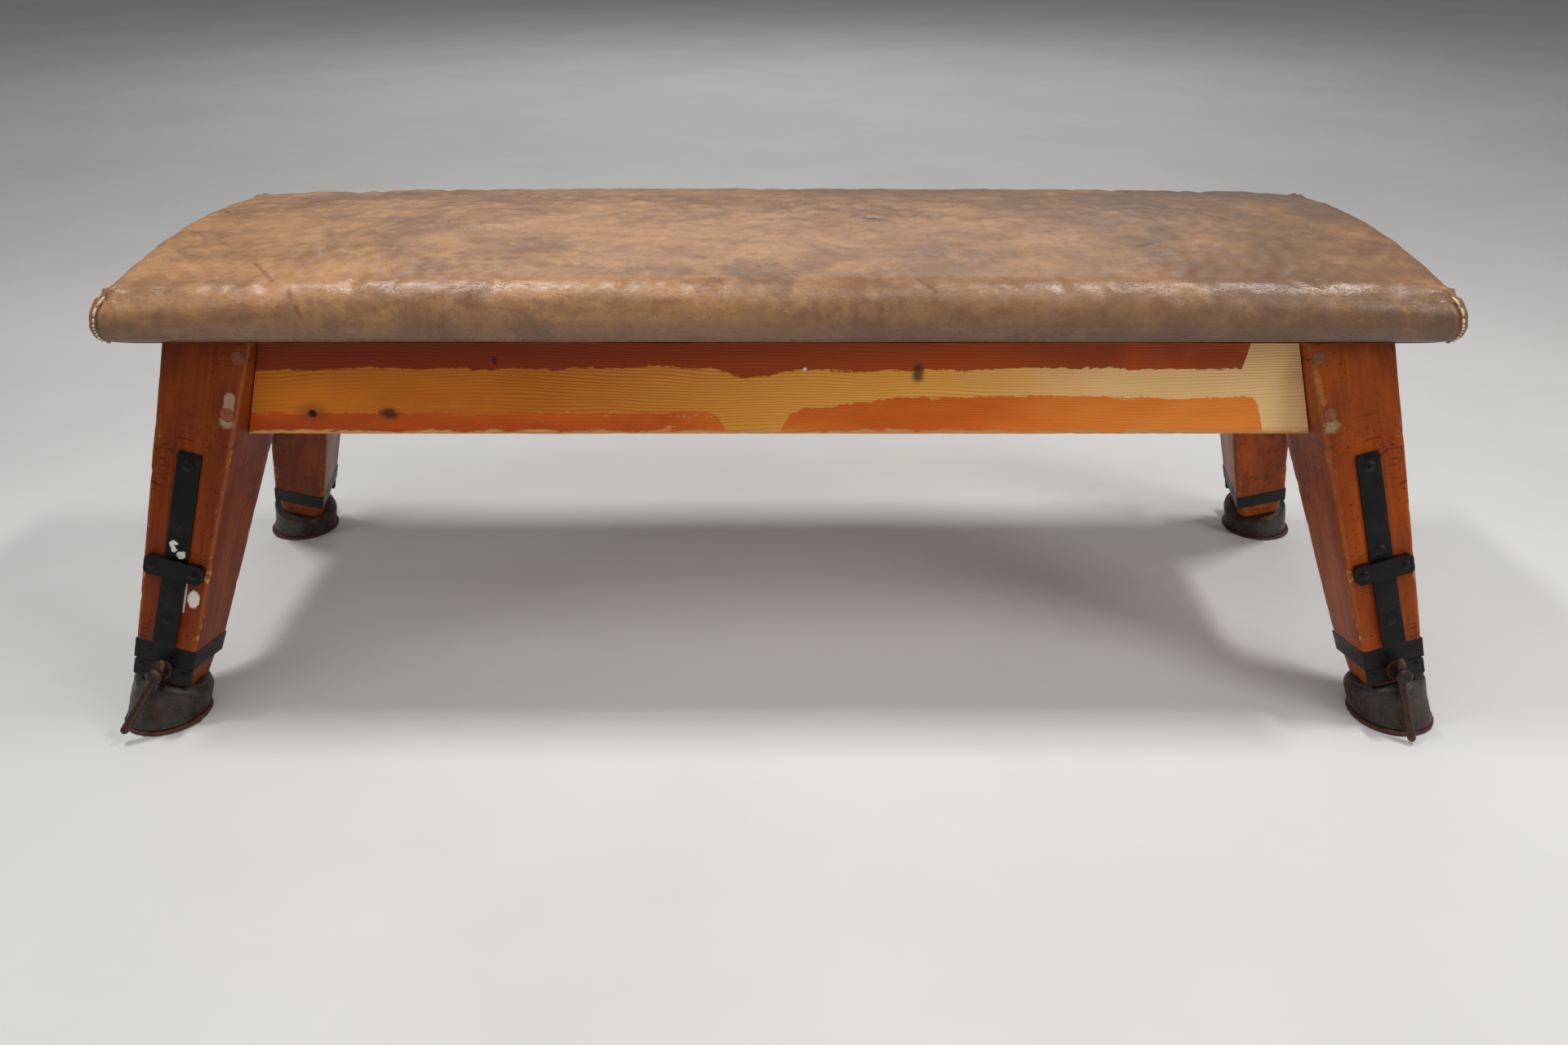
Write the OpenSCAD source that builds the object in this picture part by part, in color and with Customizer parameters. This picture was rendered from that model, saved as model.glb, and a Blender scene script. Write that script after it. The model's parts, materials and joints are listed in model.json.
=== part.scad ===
// Padded gymnastics bench: a leather-covered top on a pine frame and four splayed beech legs.
// Each leg has a shoe on a telescoping post, a spring strap that latches it and a screw that clamps it.
// Origin: on the floor under the middle of the bench. +X runs along the bench, -Y is its front, +Z is up.

/* [Padded top] */
// Length of the padded top
top_l = 1500; // [1300:10:1700]
// Width of the padded top at its widest
top_w = 470; // [440:5:500]
// Height of the underside of the top above the floor
top_underside = 487; // [480:1:495]
// Height of the padded side's fullest line above the underside
side_h = 30; // [28:1:34]
// Radius of the rounded front and rear nose
nose_r = 38; // [32:1:40]
// Radius of the rounding over the ends
end_nose_r = 32; // [28:1:38]
// Radius of the lower edge, where the leather turns under
edge_r = 20; // [12:1:22]
// Rise of the crown over the middle, above the front and rear nose
crown_h = 13; // [6:1:18]
// Thickness of the leather
leather_t = 3; // [2:0.5:4]
// Thickness of the board under the padding
board_t = 20; // [16:1:22]
// Width of the leather turned under the board
turn_under = 34; // [32:1:36]

/* [Pine frame] */
// Height of the apron boards
apron_h = 132; // [120:1:145]
// Thickness of the apron boards and end rails
apron_t = 22; // [18:1:24]
// Distance of the apron's outer face from the middle of the bench
apron_y = 183; // [178:1:186]
// Distance of the end rails from the middle of the bench
rail_x = 651; // [645:1:655]
// Gap between an apron's shoulders and the legs
shoulder_gap = 2; // [1:0.5:4]

/* [Legs] */
// Distance of each foot from the middle of the bench, lengthwise
foot_x = 778; // [770:1:790]
// Distance of each foot from the middle of the bench, across
foot_y = 248; // [244:1:252]
// Splay of the legs towards the bench ends, in degrees
splay_end = 15.9; // [15:0.1:16.5]
// Splay of the legs towards front and rear, in degrees
splay_side = 14.2; // [13.5:0.1:14.5]
// Width of a leg where its axis meets the floor
leg_foot_w = 66; // [62:1:68]
// Depth of a leg where its axis meets the floor
leg_foot_d = 65.5; // [64:0.5:68]
// Width of a leg half a metre up its axis
leg_head_w = 97.5; // [92:0.5:100]
// Depth of a leg half a metre up its axis
leg_head_d = 139; // [130:1:142]

/* [Foot] */
// Outer diameter of the metal shoe
shoe_d = 94; // [90:1:96]
// Thickness of the shoe's sheet metal
shoe_t = 2; // [1.5:0.5:3]
// Thickness of the leather sole
sole_t = 5; // [3:1:6]
// Outer width of the square post that slides in the leg
post_w = 30; // [28:1:32]
// Wall of the square post
post_wall = 3; // [3:0.5:4]
// Spacing of the latch holes in the post
hole_pitch = 25; // [20:1:30]

/* [Latch and clamp] */
// Width of the spring strap
strap_w = 28; // [24:1:30]
// Thickness of the spring strap
strap_t = 3; // [2:0.5:3]
// Angle at which the strap's free end stands off the leg
tongue_angle = 2.6; // [2.2:0.1:3]
// Diameter of the latch pin
pin_d = 10; // [8:0.5:11]
// Diameter of the clamp spindle
spindle_d = 14; // [12:1:14]
// Diameter of the lever rod
lever_d = 10; // [8:0.5:10]
// Swing of each lever from straight down the leg, outward positive
lever_swing = [16, -3, 12, -3]; // [-15:1:20]

/* [Hidden] */
LEGS = ["front_left", "front_right", "rear_left", "rear_right"];
SIDE_X = [-1, 1, -1, 1];
SIDE_Y = [-1, -1, 1, 1];
LEG_PARTS = ["leg", "ferrule", "keeper", "strap_plate", "clamp_plate", "post", "shoe", "sole",
    "latch_tongue", "clamp_spindle", "clamp_lever"];

$fn = 64;
far = 2000;
arc_steps = 6;

// Crown left at the two ends of the top
end_crown_h = 4;

// Heights of the frame
frame_top = top_underside + leather_t;
frame_bottom = frame_top - apron_h;
board_top = frame_top + board_t;

// Distances along a leg's axis, up from the floor
leg_run = 500;
leg_blank_s = 570;
leg_end_r = 40;
leg_end_flare = 13;
leg_end_s = 57.5;
ferrule_s = 84.5;
ferrule_h = 25;
ferrule_t = 3.5;
ferrule_proud = 0.5;
deck_s = 57;
shoulder_r = 11;
post_top_s = 315;
channel_top_s = 325;
channel_gap = 0.5;
post_base_t = 6;
base_gap = 0.3;
sole_edge = 2;

// Places of the hardware on a leg's outer face, measured along it from the floor
face_angle = atan((leg_head_d - leg_foot_d) / 2 / leg_run);
strap_top = 363;
strap_corner_r = 2;
pivot_t = 230;
tongue_down = face_angle - tongue_angle;
tongue_slit = 0.5;
tongue_lift = 0.1;
rivet_h = 1.2;
tongue_end_t = 111.5;
strap_screw_t = [347, 239];
keeper_t0 = 203;
keeper_len = 24;
keeper_w = 69;
keeper_gap = 6.5;
keeper_play = 6;
keeper_corner_r = 6;
keeper_plate = 2.5;
keeper_screw_x = 25;
pin_t = 150;
pin_gap = 0.8;
pin_hole_play = 2.4;
latch_close = 2.2;
keeper_screw_head = 11;
strap_screw_head = 14;
plate_screw_head = 8;
plate_t0 = 61.5;
plate_w = 70;
plate_corner_r = 3;
plate_t = 4;
plate_n = -ferrule_t * cos(face_angle);
plate_face = plate_n + plate_t;
plate_screw_x = 27;
spindle_t = 77;
washer_t = 4;
washer_d = 24;
head_d = 20;
head_len = 21;
head_gap = 1;
spindle_play = 0.2;
spindle_tip_gap = 2;
head_chamfer = 3;
under_head = plate_face + washer_t + head_gap;
lever_up = 17;
lever_bend = 14;
lever_down = 81;
lever_out = 14.5;
plug_places = [[-38, 488], [-34.5, 419]];
plug_d = 16;
plug_len = 50;

// Joinery
tenon_t = 12;
tenon_root = 120;
tenon_z0 = frame_bottom + 20;
tenon_z1 = frame_top - 20;
apron_tenon_x = 650;
rail_tenon_y = 120;
mortise_gap = 0.5;
batten_x = [-350, 0, 350];
batten_w = 60;
batten_t = 25;
batten_screw_y = 110;
board_screw_head = 8;
board_screw_len = 38;
tack_pitch = 60;
tack_inset = 27;
tack_head_d = 9;
tack_shank_d = 2;
tack_len = 12;

function half_w(s) = (leg_foot_w + (leg_head_w - leg_foot_w) * s / leg_run) / 2;
function half_d(s) = (leg_foot_d + (leg_head_d - leg_foot_d) * s / leg_run) / 2;

// ---- Frames ----

// Places its children in the corner of the bench where leg i stands
module corner(i) {
    mirror([SIDE_X[i] < 0 ? 1 : 0, 0, 0]) mirror([0, SIDE_Y[i] < 0 ? 1 : 0, 0]) children();
}

// Z runs up the leg's axis from the floor, X and Y point outward
module leg_frame() {
    translate([foot_x, foot_y, 0]) rotate([splay_side, 0, 0]) rotate([0, -splay_end, 0]) children();
}

// Z runs up the leg's outer face and Y stands out of it
module face_frame() {
    leg_frame() translate([0, leg_foot_d / 2, 0]) rotate([-face_angle, 0, 0]) children();
}

// Lays its children, drawn upright, so that their axis stands out of the face at height t
module out_of_face(x, t, n = 0) {
    translate([x, n, t]) rotate([-90, 0, 0]) children();
}

// Everything between two heights
module slab(z0, z1) {
    translate([0, 0, (z0 + z1) / 2]) cube([far, far, z1 - z0], center = true);
}

// ---- Padded top ----

// Points of a quarter round about [x, z], from angle a0 degrees on
function round_points(x, z, r, a0) = [for (k = [0:arc_steps]) let (a = a0 + 90 * k / arc_steps)
    [x + r * cos(a), z + r * sin(a)]];

// Points of a crown that rises by rise over the middle, from one edge to the other
function crown_points(half, base, rise) = [for (k = [-arc_steps:arc_steps]) let (u = k / arc_steps)
    [-u * half, base + rise * (1 - u * u)]];

// A padded outline: lower edges, sides, upper edges of radius r and a crown, drawn in by inset
module padded_outline(half, r, low_crown, rise, inset) {
    right = concat(
        round_points(half - edge_r, top_underside + edge_r, edge_r - inset, -90),
        round_points(half - r, top_underside + side_h, r - inset, 0));
    left = [for (k = [len(right) - 1:-1:0]) [-right[k][0], right[k][1]]];
    crown_base = top_underside + side_h + r - inset + low_crown;
    polygon(concat(right, crown_points(half - r, crown_base, rise), left));
}

// The padded top, drawn in by inset: its cross section along X, cut to its side outline
module top_volume(inset) {
    side_rise = nose_r + crown_h - end_nose_r - end_crown_h;
    intersection() {
        rotate([90, 0, 90]) linear_extrude(top_l, center = true)
            padded_outline(top_w / 2, nose_r, 0, crown_h, inset);
        rotate([90, 0, 0]) linear_extrude(top_w, center = true)
            padded_outline(top_l / 2, end_nose_r, end_crown_h, side_rise, inset);
    }
}

module leather_cover() {
    color("#8a6748") difference() {
        top_volume(0);
        top_volume(leather_t);
        translate([0, 0, frame_top]) cube(
            [top_l - 2 * turn_under, top_w - 2 * turn_under, 4 * leather_t], center = true);
    }
}

module padding() {
    color("#cdb98f") intersection() {
        top_volume(leather_t);
        slab(board_top, far);
    }
}

module top_board() {
    color("#c99a5b") difference() {
        intersection() {
            top_volume(leather_t);
            slab(0, board_top);
        }
        board_screws();
    }
}

module cover_tacks() {
    along_x = top_l / 2 - tack_inset;
    along_y = top_w / 2 - tack_inset;
    nx = round(2 * along_x / tack_pitch);
    ny = round(2 * along_y / tack_pitch);
    color("#3a2c22") {
        for (k = [0:nx], side = [-1, 1]) translate([(2 * k / nx - 1) * along_x, side * along_y, 0]) tack();
        for (k = [1:ny - 1], side = [-1, 1])
            translate([side * along_x, (2 * k / ny - 1) * along_y, 0]) tack();
    }
}

module tack() {
    translate([0, 0, top_underside - 1]) cylinder(d = tack_head_d, h = 1, $fn = 24);
    translate([0, 0, top_underside]) cylinder(d = tack_shank_d, h = tack_len, $fn = 16);
}

// ---- Pine frame ----

// The solid of one leg before its joints are cut, grown by a margin all round
module leg_prism(grow, s0, s1) {
    w0 = half_w(s0) + grow;
    w1 = half_w(s1) + grow;
    d0 = half_d(s0) + grow;
    d1 = half_d(s1) + grow;
    intersection() {
        rotate([90, 0, 0]) linear_extrude(far, center = true)
            polygon([[-w0, s0], [w0, s0], [w1, s1], [-w1, s1]]);
        rotate([90, 0, 90]) linear_extrude(far, center = true)
            polygon([[-d0, s0], [d0, s0], [d1, s1], [-d1, s1]]);
    }
}

module cut_by_legs() {
    difference() {
        children();
        for (i = [0:3]) corner(i) leg_frame() leg_prism(shoulder_gap, 0, leg_blank_s);
    }
}

module apron_tenons(side) {
    for (end = [-1, 1]) translate([end * (apron_tenon_x - tenon_root / 2), side * (apron_y - apron_t / 2),
        (tenon_z0 + tenon_z1) / 2]) cube([tenon_root, tenon_t, tenon_z1 - tenon_z0], center = true);
}

module apron(side) {
    color("#c98a45") difference() {
        union() {
            cut_by_legs() translate([0, side * (apron_y - apron_t / 2), frame_bottom + apron_h / 2])
                cube([2 * apron_tenon_x, apron_t, apron_h], center = true);
            apron_tenons(side);
        }
        dowel_plugs();
    }
}

module rail_tenons(end) {
    for (side = [-1, 1]) translate([end * rail_x, side * (rail_tenon_y - tenon_root / 2),
        (tenon_z0 + tenon_z1) / 2]) cube([tenon_t, tenon_root, tenon_z1 - tenon_z0], center = true);
}

module end_rail(end) {
    color("#c08442") {
        cut_by_legs() translate([end * rail_x, 0, frame_bottom + apron_h / 2])
            cube([apron_t, 2 * rail_tenon_y, apron_h], center = true);
        rail_tenons(end);
    }
}

module cross_battens() {
    color("#b98b52") difference() {
        for (x = batten_x) translate([x, 0, frame_top - batten_t / 2])
            cube([batten_w, 2 * (apron_y - apron_t), batten_t], center = true);
        board_screws();
    }
}

// Each screw goes up through a batten into the board
module board_screws() {
    color("#6a6a66") for (x = batten_x, side = [-1, 1])
        translate([x, side * batten_screw_y, frame_top - batten_t]) {
            cylinder(d = board_screw_head, h = board_screw_head / 3, $fn = 24);
            cylinder(d = board_screw_head / 2, h = board_screw_len, $fn = 24);
        }
}

// ---- Legs ----

module leg(i) {
    color("#8c3f17") difference() {
        corner(i) difference() {
            intersection() {
                leg_frame() {
                    leg_prism(0, ferrule_s + ferrule_h, leg_blank_s);
                    leg_prism(-ferrule_t, ferrule_s, ferrule_s + ferrule_h + 1);
                    intersection() {
                        leg_prism(-ferrule_t, leg_end_s, ferrule_s + 1);
                        translate([0, 0, leg_end_s]) cylinder(
                            r1 = leg_end_r, r2 = leg_end_r + leg_end_flare, h = ferrule_s + 1 - leg_end_s);
                    }
                }
                translate([0, 0, frame_top / 2]) cube([far, far, frame_top], center = true);
            }
            leg_frame() translate([0, 0, channel_top_s / 2])
                cube([post_w + 2 * channel_gap, post_w + 2 * channel_gap, channel_top_s], center = true);
            face_frame() {
                out_of_face(0, spindle_t, -leg_foot_d / 2) cylinder(d = spindle_d + 2, h = leg_foot_d);
                out_of_face(0, pin_t, -leg_foot_d / 2) cylinder(d = pin_d + 8, h = leg_foot_d);
            }
            one_keeper_screws();
            one_strap_screws();
            one_plate_screws();
            one_dowel_plugs();
        }
        translate([SIDE_X[i] * mortise_gap, 0, 0]) apron_tenons(SIDE_Y[i]);
        translate([0, SIDE_Y[i] * mortise_gap, 0]) rail_tenons(SIDE_X[i]);
    }
}

module ferrule(i) {
    color("#26241f") corner(i) leg_frame() difference() {
        leg_prism(ferrule_proud, ferrule_s, ferrule_s + ferrule_h);
        leg_prism(-ferrule_t, ferrule_s - 1, ferrule_s + ferrule_h + 1);
    }
}

module one_dowel_plugs() {
    face_frame() for (p = plug_places) out_of_face(p[0], p[1], -plug_len) cylinder(d = plug_d, h = plug_len);
}

module dowel_plugs() {
    color("#b5713a") for (i = [0:3]) corner(i) one_dowel_plugs();
}

// ---- Strap, keeper and clamp plate on the outer face ----

// A slotted screw standing out of the face, its head resting at height n
module slotted_screw(x, t, n, head, turn) {
    length = 2.2 * head;
    out_of_face(x, t, n) difference() {
        union() {
            intersection() {
                cylinder(d = head, h = head / 6);
                translate([0, 0, head / 6 - head]) sphere(d = 2 * head, $fn = 96);
            }
            translate([0, 0, -length]) cylinder(d = 0.45 * head, h = length + head / 12, $fn = 32);
        }
        rotate(turn) translate([0, 0, head / 6]) cube([head + 1, head / 9, head / 8], center = true);
    }
}

module one_keeper_screws() {
    face_frame() for (side = [-1, 1]) slotted_screw(side * keeper_screw_x, keeper_t0 + keeper_len / 2,
        keeper_gap + keeper_plate, keeper_screw_head, 30 + 40 * side);
}

module keeper_screws() {
    color("#2c2a27") for (i = [0:3]) corner(i) one_keeper_screws();
}

module one_strap_screws() {
    face_frame() for (t = strap_screw_t) slotted_screw(0, t, strap_t, strap_screw_head, t);
}

module strap_screws() {
    color("#2c2a27") for (i = [0:3]) corner(i) one_strap_screws();
}

module one_plate_screws() {
    face_frame() for (side = [-1, 1]) slotted_screw(side * plate_screw_x, spindle_t,
        plate_face, plate_screw_head, 60 * side);
}

module plate_screws() {
    color("#2c2a27") for (i = [0:3]) corner(i) one_plate_screws();
}

module rounded_bar(w, h, r, thick) {
    linear_extrude(thick) union() {
        square([w - 2 * r, h], center = true);
        square([w, h - 2 * r], center = true);
        for (x = [-1, 1], y = [-1, 1]) translate([x * (w / 2 - r), y * (h / 2 - r)]) circle(r);
    }
}

module keeper(i) {
    mid = keeper_t0 + keeper_len / 2;
    color("#26241f") corner(i) difference() {
        face_frame() difference() {
            out_of_face(0, mid) rounded_bar(keeper_w, keeper_len, keeper_corner_r, keeper_gap + keeper_plate);
            translate([0, keeper_gap / 2, mid])
                cube([strap_w + keeper_play, keeper_gap, keeper_len + 1], center = true);
        }
        one_keeper_screws();
    }
}

module strap_plate(i) {
    length = strap_top - pivot_t - 2 * tongue_slit;
    color("#26241f") corner(i) difference() {
        face_frame() out_of_face(0, strap_top - length / 2)
            rounded_bar(strap_w, length, strap_corner_r, strap_t);
        one_strap_screws();
    }
}

module clamp_plate(i) {
    length = ferrule_s - 0.5 - plate_t0;
    color("#26241f") corner(i) difference() {
        face_frame() difference() {
            out_of_face(0, plate_t0 + length / 2, plate_n)
                rounded_bar(plate_w, length, plate_corner_r, plate_t);
            out_of_face(0, spindle_t, plate_n - 1) cylinder(d = spindle_d + spindle_play, h = plate_t + 2);
        }
        one_plate_screws();
    }
}

module spindle_washers() {
    color("#b08a4a") for (i = [0:3])
        corner(i) face_frame() out_of_face(0, spindle_t, plate_face) difference() {
            cylinder(d = washer_d, h = washer_t);
            translate([0, 0, -1]) cylinder(d = spindle_d + 3 * spindle_play, h = washer_t + 2);
        }
}

// ---- Sliding foot: post, shoe and sole ----

// Height where the latch pin enters the post once the tongue is pressed home
function pin_entry_s() = pivot_t * cos(face_angle) - (pivot_t - pin_t) * cos(tongue_down + latch_close)
    + pin_reach() * sin(tongue_down + latch_close);

module post(i) {
    inner = post_w - 2 * post_wall;
    holes = floor((post_top_s - pin_t - pin_d) / hole_pitch);
    color("#5b5a57") corner(i) difference() {
        union() {
            intersection() {
                leg_frame() translate([0, 0, post_top_s / 2])
                    cube([post_w, post_w, post_top_s], center = true);
                slab(sole_t, far);
            }
            intersection() {
                leg_frame() cylinder(r = shoe_d / 2 - shoe_t - base_gap, h = 2 * shoe_d, center = true);
                slab(sole_t, sole_t + post_base_t);
            }
        }
        leg_frame() translate([0, 0, post_top_s / 2 + post_w])
            cube([inner, inner, post_top_s], center = true);
        leg_frame() for (k = [0:holes]) translate([0, post_w / 2, pin_entry_s() + k * hole_pitch])
            rotate([90, 0, 0]) cylinder(d = pin_d + pin_hole_play, h = 3 * post_wall, center = true);
    }
}

// The shoe's outline from its axis: a wall that rounds over into a flat deck
module shoe_section(r, top, round_r) {
    polygon(concat([[0, -far / 10]], [[r, -far / 10]],
        [for (k = [0:arc_steps]) let (a = 90 * k / arc_steps)
            [r - round_r + round_r * cos(a), top - round_r + round_r * sin(a)]], [[0, top]]));
}

module shoe(i) {
    hole = post_w + 2 * channel_gap;
    color("#4a4a40") corner(i) intersection() {
        leg_frame() difference() {
            rotate_extrude() shoe_section(shoe_d / 2, deck_s, shoulder_r);
            rotate_extrude() shoe_section(shoe_d / 2 - shoe_t, deck_s - shoe_t, shoulder_r - shoe_t);
            translate([0, 0, deck_s]) cube([hole, hole, 4 * shoulder_r], center = true);
        }
        slab(sole_t, far);
    }
}

module sole(i) {
    color("#6b4630") corner(i) intersection() {
        leg_frame() cylinder(r = shoe_d / 2 + sole_edge, h = 2 * shoe_d, center = true);
        slab(0, sole_t);
    }
}

// ---- Latch: the strap's free end with its pin ----

// Length of the pin from the middle of the strap to just short of the post
function pin_reach() = (half_d(pivot_t) + strap_t / 2 - (pivot_t - pin_t) * sin(tongue_down) - post_w / 2)
    / cos(tongue_down) - pin_gap;

// Z runs up the free end of the strap from where it bends, along the strap's middle
module tongue_frame() {
    face_frame() translate([0, strap_t / 2, pivot_t]) rotate([tongue_angle, 0, 0]) children();
}

module latch_tongue(i) {
    length = pivot_t - tongue_slit - tongue_end_t;
    arm = pivot_t - pin_t;
    color("#26241f") corner(i) tongue_frame() {
        out_of_face(0, -tongue_slit - length / 2, tongue_lift - strap_t / 2)
            rounded_bar(strap_w, length, strap_corner_r, strap_t - tongue_lift);
        out_of_face(0, -arm, -pin_reach()) cylinder(d = pin_d, h = pin_reach());
        out_of_face(0, -arm, strap_t / 2) cylinder(d1 = pin_d + 3, d2 = pin_d, h = rivet_h);
    }
}

// ---- Clamp: spindle and lever ----

// A rod that runs straight through the spindle's head and then bends away from the shoe
module lever_rod() {
    drop = lever_down - lever_bend;
    translate([0, 0, -lever_bend]) {
        cylinder(d = lever_d, h = lever_bend + lever_up);
        sphere(d = lever_d);
        rotate([180 + atan(lever_out / drop), 0, 0]) cylinder(d = lever_d, h = norm([drop, lever_out]));
    }
    translate([0, 0, lever_up]) sphere(d = lever_d);
    translate([0, lever_out, -lever_down]) sphere(d = lever_d);
}

// Where the lever crosses the spindle's head, turned to its swing
module lever_place(i) {
    corner(i) face_frame() translate([0, under_head + head_len / 2, spindle_t])
        rotate([0, -lever_swing[i], 0]) children();
}

module clamp_spindle(i) {
    tip = half_d(spindle_t) - post_w / 2 - spindle_tip_gap;
    color("#3b3a36") difference() {
        corner(i) face_frame() {
            out_of_face(0, spindle_t, -tip) cylinder(d = spindle_d, h = tip + under_head);
            out_of_face(0, spindle_t, under_head) rotate_extrude() polygon(
                [[0, 0], [head_d / 2, 0], [head_d / 2, head_len - head_chamfer],
                 [head_d / 2 - head_chamfer, head_len], [0, head_len]]);
        }
        lever_place(i) lever_rod();
    }
}

module clamp_lever(i) {
    color("#5c2c20") lever_place(i) lever_rod();
}

leather_cover();
padding();
top_board();
apron(-1);  // front_apron
apron(1);  // rear_apron
end_rail(-1);  // left_end_rail
end_rail(1);  // right_end_rail
cross_battens();
cover_tacks();
board_screws();
keeper_screws();
strap_screws();
plate_screws();
dowel_plugs();
spindle_washers();
for (i = [0:3]) {
    leg(i);
    ferrule(i);
    keeper(i);
    strap_plate(i);
    clamp_plate(i);
    post(i);
    shoe(i);
    sole(i);
    latch_tongue(i);
    clamp_spindle(i);
    clamp_lever(i);
}
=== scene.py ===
"""Looks for the leather-topped gymnastics bench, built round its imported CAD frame.

Lengths are in metres and the frame is the CAD's: +X along the bench, -Y its front, +Z up.
"""
import json
import math

import bmesh
import bpy
from mathutils import Matrix, Vector, noise


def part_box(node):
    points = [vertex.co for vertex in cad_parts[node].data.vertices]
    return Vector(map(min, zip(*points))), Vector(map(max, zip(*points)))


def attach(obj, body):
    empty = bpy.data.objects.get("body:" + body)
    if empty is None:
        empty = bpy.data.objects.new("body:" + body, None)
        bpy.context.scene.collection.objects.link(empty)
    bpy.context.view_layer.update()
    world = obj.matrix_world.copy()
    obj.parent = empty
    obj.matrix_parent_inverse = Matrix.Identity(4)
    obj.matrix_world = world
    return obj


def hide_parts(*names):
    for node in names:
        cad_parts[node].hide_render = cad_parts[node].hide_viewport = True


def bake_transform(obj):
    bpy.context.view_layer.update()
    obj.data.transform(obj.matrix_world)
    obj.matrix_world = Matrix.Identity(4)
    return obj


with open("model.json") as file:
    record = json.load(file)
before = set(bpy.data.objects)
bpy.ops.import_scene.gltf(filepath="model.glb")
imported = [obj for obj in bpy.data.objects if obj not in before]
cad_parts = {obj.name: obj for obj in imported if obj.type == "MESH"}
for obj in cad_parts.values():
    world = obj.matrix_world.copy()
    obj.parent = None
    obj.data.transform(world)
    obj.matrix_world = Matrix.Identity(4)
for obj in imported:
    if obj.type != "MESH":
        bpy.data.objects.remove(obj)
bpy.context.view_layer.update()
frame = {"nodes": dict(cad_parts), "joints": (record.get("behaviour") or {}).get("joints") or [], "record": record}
MM = 0.001
SHARP_ANGLE = 35
NEAR_AXIS = 0.1 * MM
CORNERS = {"front_left": (-1, -1), "front_right": (1, -1), "rear_left": (-1, 1), "rear_right": (1, 1)}
JOINTS = {j["name"]: j for j in frame["joints"]}
MOUNTS = {m["name"]: m for m in frame["record"]["mounts"]}


# ---------------------------------------------------------------- frames of the legs

def axes_frame(x, y, z, origin):
    """The 4x4 matrix with these axes and this origin."""
    matrix = Matrix((x, y, z)).transposed().to_4x4()
    matrix.translation = origin
    return matrix


def node_points(node, matrix):
    """A CAD node's points in the frame of a matrix."""
    inverse = matrix.inverted()
    return [inverse @ v.co for v in frame["nodes"][node].data.vertices]


def corner_matrix(corner):
    """Mirrors the rear right corner, where X and Y point outward, onto any corner."""
    sign_x, sign_y = CORNERS[corner]
    return Matrix.Diagonal((sign_x, sign_y, 1, 1))


def joint_axis(name):
    """A joint's axis at rest."""
    return Vector(JOINTS[name]["axis"])


leg_up = -joint_axis("foot_slide_rear_right")
leg_x = joint_axis("latch_flex_rear_right")
leg_y = leg_up.cross(leg_x)
leg_origin = Vector(MOUNTS["floor_face_rear_right"]["pos_m"])
face_normal = -joint_axis("clamp_turn_rear_right")
strap_points = [v.co for v in frame["nodes"]["strap_plate_rear_right"].data.vertices]
half_foot_d = min(face_normal.dot(p - leg_origin) for p in strap_points) / face_normal.dot(leg_y)
face_origin = leg_origin + leg_y * half_foot_d

# Leg frame: Z up the leg's axis, X and Y outward. Face frame: Y out of the outer face, Z up it.
LEG = {c: corner_matrix(c) @ axes_frame(leg_x, leg_y, leg_up, leg_origin) for c in CORNERS}
FACE = {c: corner_matrix(c) @ axes_frame(leg_x, face_normal, leg_x.cross(face_normal), face_origin)
        for c in CORNERS}


def local_box(node, matrix):
    """The low and high corner of a CAD node in the frame of a matrix."""
    points = node_points(node, matrix)
    low = Vector(min(p[i] for p in points) for i in range(3))
    high = Vector(max(p[i] for p in points) for i in range(3))
    return low, high


# ---------------------------------------------------------------- mesh helpers

def eased(value):
    """0 below 0, 1 above 1 and smooth between."""
    t = min(1.0, max(0.0, value))
    return t * t * (3 - 2 * t)


def link(name, data):
    """A new object in the scene."""
    obj = bpy.data.objects.new(name, data)
    bpy.context.scene.collection.objects.link(obj)
    return obj


def bake(obj):
    """Makes an object's modifiers part of its mesh."""
    evaluated = obj.evaluated_get(bpy.context.evaluated_depsgraph_get())
    mesh = bpy.data.meshes.new_from_object(evaluated)
    obj.modifiers.clear()
    obj.data = mesh
    return mesh


def turn_angles(count):
    """This many angles, evenly spaced once round."""
    return [2 * math.pi * i / count for i in range(count)]


def finish_mesh(name, mesh, material, smooth_angle=40):
    """A shaded object from a mesh, with edges over smooth_angle degrees kept sharp."""
    obj = link(name, mesh)
    mesh.materials.clear()
    mesh.materials.append(material)
    mesh.shade_smooth()
    mesh.set_sharp_from_angle(angle=math.radians(smooth_angle))
    return obj


def mesh_of(name, points, faces, matrix=None):
    """A mesh with its faces turned outward, after the points are placed by a matrix."""
    mesh = bpy.data.meshes.new(name)
    placed = [matrix @ Vector(p) for p in points] if matrix else points
    mesh.from_pydata(placed, [], faces)
    bm = bmesh.new()
    bm.from_mesh(mesh)
    bmesh.ops.recalc_face_normals(bm, faces=bm.faces)
    bm.to_mesh(mesh)
    bm.free()
    return mesh


def loft(rings, cap=True):
    """Points and faces of a tube through closed rings with the same number of points."""
    points = [p for ring in rings for p in ring]
    n = len(rings[0])
    faces = []
    for k in range(len(rings) - 1):
        for i in range(n):
            j = (i + 1) % n
            faces.append((k * n + i, k * n + j, (k + 1) * n + j, (k + 1) * n + i))
    if cap:
        faces.append(tuple(range(n))[::-1])
        faces.append(tuple(range((len(rings) - 1) * n, len(rings) * n)))
    return points, faces


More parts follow.
